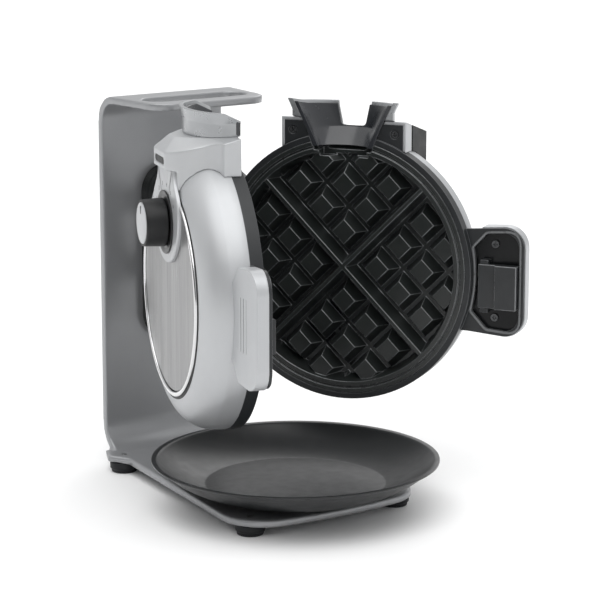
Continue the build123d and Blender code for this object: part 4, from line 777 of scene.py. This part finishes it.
# Screws with cross recesses: two in the ears, at +-u, and two in the handle's tub, at two heights
screw = {
    "radius": 3.0, "dome": 0.25, "edge": 0.35, "height": 1.6, "slot": 0.42, "reach": 1.7,
    "depth": 0.9, "slotFade": (0.75, 1.25), "reachFade": 0.4, "stem": 1.4, "steps": 64,
    "ears": {"us": (-40.3, 40.3), "w": 101.5, "out": 2.7, "stem": 9.0},
    "handle": {"u": 116.6, "ws": (-31.3, 23.7), "out": 10.4, "stem": 1.6},
}


# Screw head and its stem: the face is lowered by depth inside the cross |a| < slot or
# |b| < slot, and slotFade times slot is where the cross's walls begin and end
def screwHead(half, centre, faceOut, stemLength):
    radius = np.linspace(0, screw["radius"] - screw["dome"], 16)
    radius = np.concatenate([radius, [screw["radius"], screw["radius"]]])
    angle = np.linspace(0, 2 * math.pi, screw["steps"], endpoint=False)[:, None]
    a, b = radius * np.sin(angle), radius * np.cos(angle)
    across = np.minimum(np.abs(a), np.abs(b)) / screw["slot"]
    near, far = screw["slotFade"]
    inside = np.clip((far - across) / (far - near), 0, 1)
    inside = inside * np.clip((screw["reach"] - radius) / screw["reachFade"], 0, 1)
    height = faceOut + screw["depth"] * inside
    backOut = faceOut + screw["height"]
    height[:, -2] = faceOut + screw["edge"]
    height[:, -1] = backOut
    stem = np.array([screw["stem"], screw["stem"], 0.0])
    a = np.concatenate([a, stem * np.sin(angle)], 1)
    b = np.concatenate([b, stem * np.cos(angle)], 1)
    back = np.array([backOut, backOut + stemLength, backOut + stemLength])
    height = np.concatenate([height, np.broadcast_to(back, (screw["steps"], 3))], 1)
    points = onHalf(half, centre[0] + a, height, centre[1] + b)
    return points, gridFaces(screw["steps"], a.shape[1], True, False)


# Shaded floors of the grip's grooves, just under a surface that falls by "fall" per millimetre
groove = {
    "us": (111.5, 116.4, 121.3), "halfLong": 18.6, "halfWide": 0.5, "middle": -2.0,
    "start": 97.0, "top": 23.2, "fall": 0.1193, "sink": 0.3,
}
grooveRings = [(0, 1.0), (0, groove["sink"] + 0.1), (0.1, groove["sink"])]


def inGroove(half):
    def place(a, b, h):
        surface = groove["top"] - groove["fall"] * (np.asarray(a) - groove["start"])
        return onHalf(half, a, surface - h, b)

    return place


for half in halves:
    ears, handle = screw["ears"], screw["handle"]
    heads = [screwHead(half, (u, ears["w"]), ears["out"], ears["stem"]) for u in ears["us"]]
    heads += [screwHead(half, (handle["u"], w), handle["out"], handle["stem"])
              for w in handle["ws"]]
    makePiece(half + "_screw_heads", heads, half + "_half", "screwGrey",
              (half + "_screws",), crease=35)
for half in halves:
    outlines = [stadium(groove["halfLong"], groove["halfWide"], (u, groove["middle"]))
                for u in groove["us"]]
    strips = [pad(inGroove(half), outline, grooveRings) for outline in outlines]
    makePiece(half + "_groove_shade", strips, half + "_half", "grooveShade",
              crease=50)

# Edge of the liner that shows at the left collar's end, a pad that faces along u
lip = {
    "out": 2.1, "w": 120.9, "halfLong": 5.4, "halfWide": 1.5, "start": 39.8, "end": 40.6,
    "round": 0.3,
}
lipRings = [(0, lip["start"]), (0, lip["end"] - lip["round"]), (lip["round"], lip["end"])]
lipOutline = stadium(lip["halfLong"], lip["halfWide"], (lip["out"], lip["w"]))
makePiece("left_funnel_lip", [pad(lambda a, b, h: onHalf("left", h, a, b), lipOutline, lipRings)],
          "left_half", "linerGrey")

# The latch box's bevels take a lighter finish, a painted highlight on its edges
softened("latch_box", "latch_lever", "latch_lever", "latchGrey", width=0.6,
         edge="latchHighlight")
recast("latch_hook", "latch_keeper", "left_half", "latchGrey", cell=0.4, passes=3)
recast("cord_box", "cord_housing", "right_half", "cordBlack", cell=0.5, passes=3)
print("small pieces done")

# CAD nodes that stay as they are
kept = {
    "foot_screws": "turnedSteel", "bracket_screws": "turnedSteel", "hinge_pin": "turnedSteel",
    "knob_shaft": "turnedSteel", "latch_pin": "turnedSteel",
    "right_heating_element": "tintedSteel", "left_heating_element": "tintedSteel",
    "right_reflector": "millAluminium", "left_reflector": "millAluminium",
    "thermostat": "controlBlack", "indicator_window": "windowSmoke", "indicator_lamps": "lampRed",
}
for name, finish in kept.items():
    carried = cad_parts[name]
    if not carried.material_slots:
        carried.data.materials.append(finishes[finish])
    for place in carried.material_slots:
        place.material = finishes[finish]

# Floor: a flat round slab, its rings closer together under the object
ground = {"rings": (0, 400, 1200, 3000, 7000), "thick": 20, "steps": 96}
underside = [(ground["rings"][-1], -ground["thick"]), (0, -ground["thick"])]
profile = np.array([(radius, 0) for radius in ground["rings"]] + underside, float)
points, faces = spun(upright((0, 0)), profile, ground["steps"], closed=False)
slab = bpy.data.meshes.new("floor")
slab.from_pydata(points.reshape(-1, 3) * mm, [], faces.tolist())
work = bmesh.new()
work.from_mesh(slab)
bmesh.ops.remove_doubles(work, verts=work.verts, dist=merge["floor"])
bmesh.ops.recalc_face_normals(work, faces=work.faces)
work.to_mesh(slab)
work.free()
slab.materials.append(finishes["floorPaper"])
floor = bpy.data.objects.new("floor", slab)
scene.collection.objects.link(floor)

# Lights, in metres and degrees
lamps = {
    "sun": {"at": (-0.65, -0.5, 1.9), "aim": (0, 0, 0), "spread": 70, "power": 1.4},
    "back": {"at": (1.3, 1.2, 1.1), "aim": (0.05, 0, 0.2), "size": (0.8, 1.0), "power": 3},
}


def aimed(thing, at, target):
    away = np.array(at, float) - np.array(target, float)
    thing.location = at
    tilt = math.atan2(math.hypot(away[0], away[1]), away[2])
    thing.rotation_euler = (tilt, 0, math.atan2(away[0], -away[1]))


for name, lamp in lamps.items():
    data = bpy.data.lights.new(name, "AREA" if "size" in lamp else "SUN")
    data.energy = lamp["power"]
    if "size" in lamp:
        data.shape = "RECTANGLE"
        data.size, data.size_y = lamp["size"]
    else:
        data.angle = math.radians(lamp["spread"])
    holder = bpy.data.objects.new(name, data)
    scene.collection.objects.link(holder)
    aimed(holder, lamp["at"], lamp["aim"])

# World: brighter from the horizon to highAt of the way up. A dark screen on the left takes off
# "depth" of the light, from where direction . axis is start to where it is end
sky = {"low": (0.50, 0.505, 0.51), "high": (1.0, 1.0, 1.0), "highAt": 0.9, "strength": 1.03}
screen = {"axis": (-0.955, -0.27, 0.12), "start": 0.6, "end": 0.93, "depth": 0.8}
world = bpy.data.worlds.new("studio")
scene.world = world
world.use_nodes = True
link = world.node_tree.links.new
background = world.node_tree.nodes["Background"]
background.inputs["Strength"].default_value = sky["strength"]
where = node(world, "TexCoord")
split = node(world, "SeparateXYZ")
ramp = node(world, "ValToRGB")
low, high = ramp.color_ramp.elements
low.position, high.position = 0.0, sky["highAt"]
low.color, high.color = (*sky["low"], 1), (*sky["high"], 1)
toAxis = node(world, "VectorMath")
toAxis.operation = "DOT_PRODUCT"
toAxis.inputs[1].default_value = screen["axis"]
shade = node(world, "MapRange", From_Min=screen["start"], From_Max=screen["end"], To_Min=1.0,
             To_Max=1 - screen["depth"])
shade.interpolation_type = "SMOOTHSTEP"
dimmed = node(world, "VectorMath")
dimmed.operation = "SCALE"
link(where.outputs["Generated"], split.inputs["Vector"])
link(split.outputs["Z"], ramp.inputs["Fac"])
link(where.outputs["Generated"], toAxis.inputs[0])
link(toAxis.outputs["Value"], shade.inputs["Value"])
link(ramp.outputs["Color"], dimmed.inputs[0])
link(shade.outputs["Result"], dimmed.inputs["Scale"])
link(dimmed.outputs["Vector"], background.inputs["Color"])

# Camera: "focal" is in pixels of a picture that is "picture" pixels wide, places are in metres
view = {
    "at": (-0.99599, -1.44407, 0.52366), "yaw": 34.701, "down": 11.879,
    "focal": 2494.63, "picture": 600.0, "sensor": 36.0, "farthest": 50,
}
lens = bpy.data.cameras.new("camera")
lens.sensor_width = view["sensor"]
lens.lens = view["sensor"] * view["focal"] / view["picture"]
lens.clip_end = view["farthest"]
camera = bpy.data.objects.new("camera", lens)
camera.location = view["at"]
camera.rotation_euler = (math.radians(90 - view["down"]), 0, math.radians(-view["yaw"]))
scene.collection.objects.link(camera)
bpy.context.scene.camera = camera
scene.view_settings.view_transform = "Standard"
print("stage done")

bpy.context.view_layer.update()
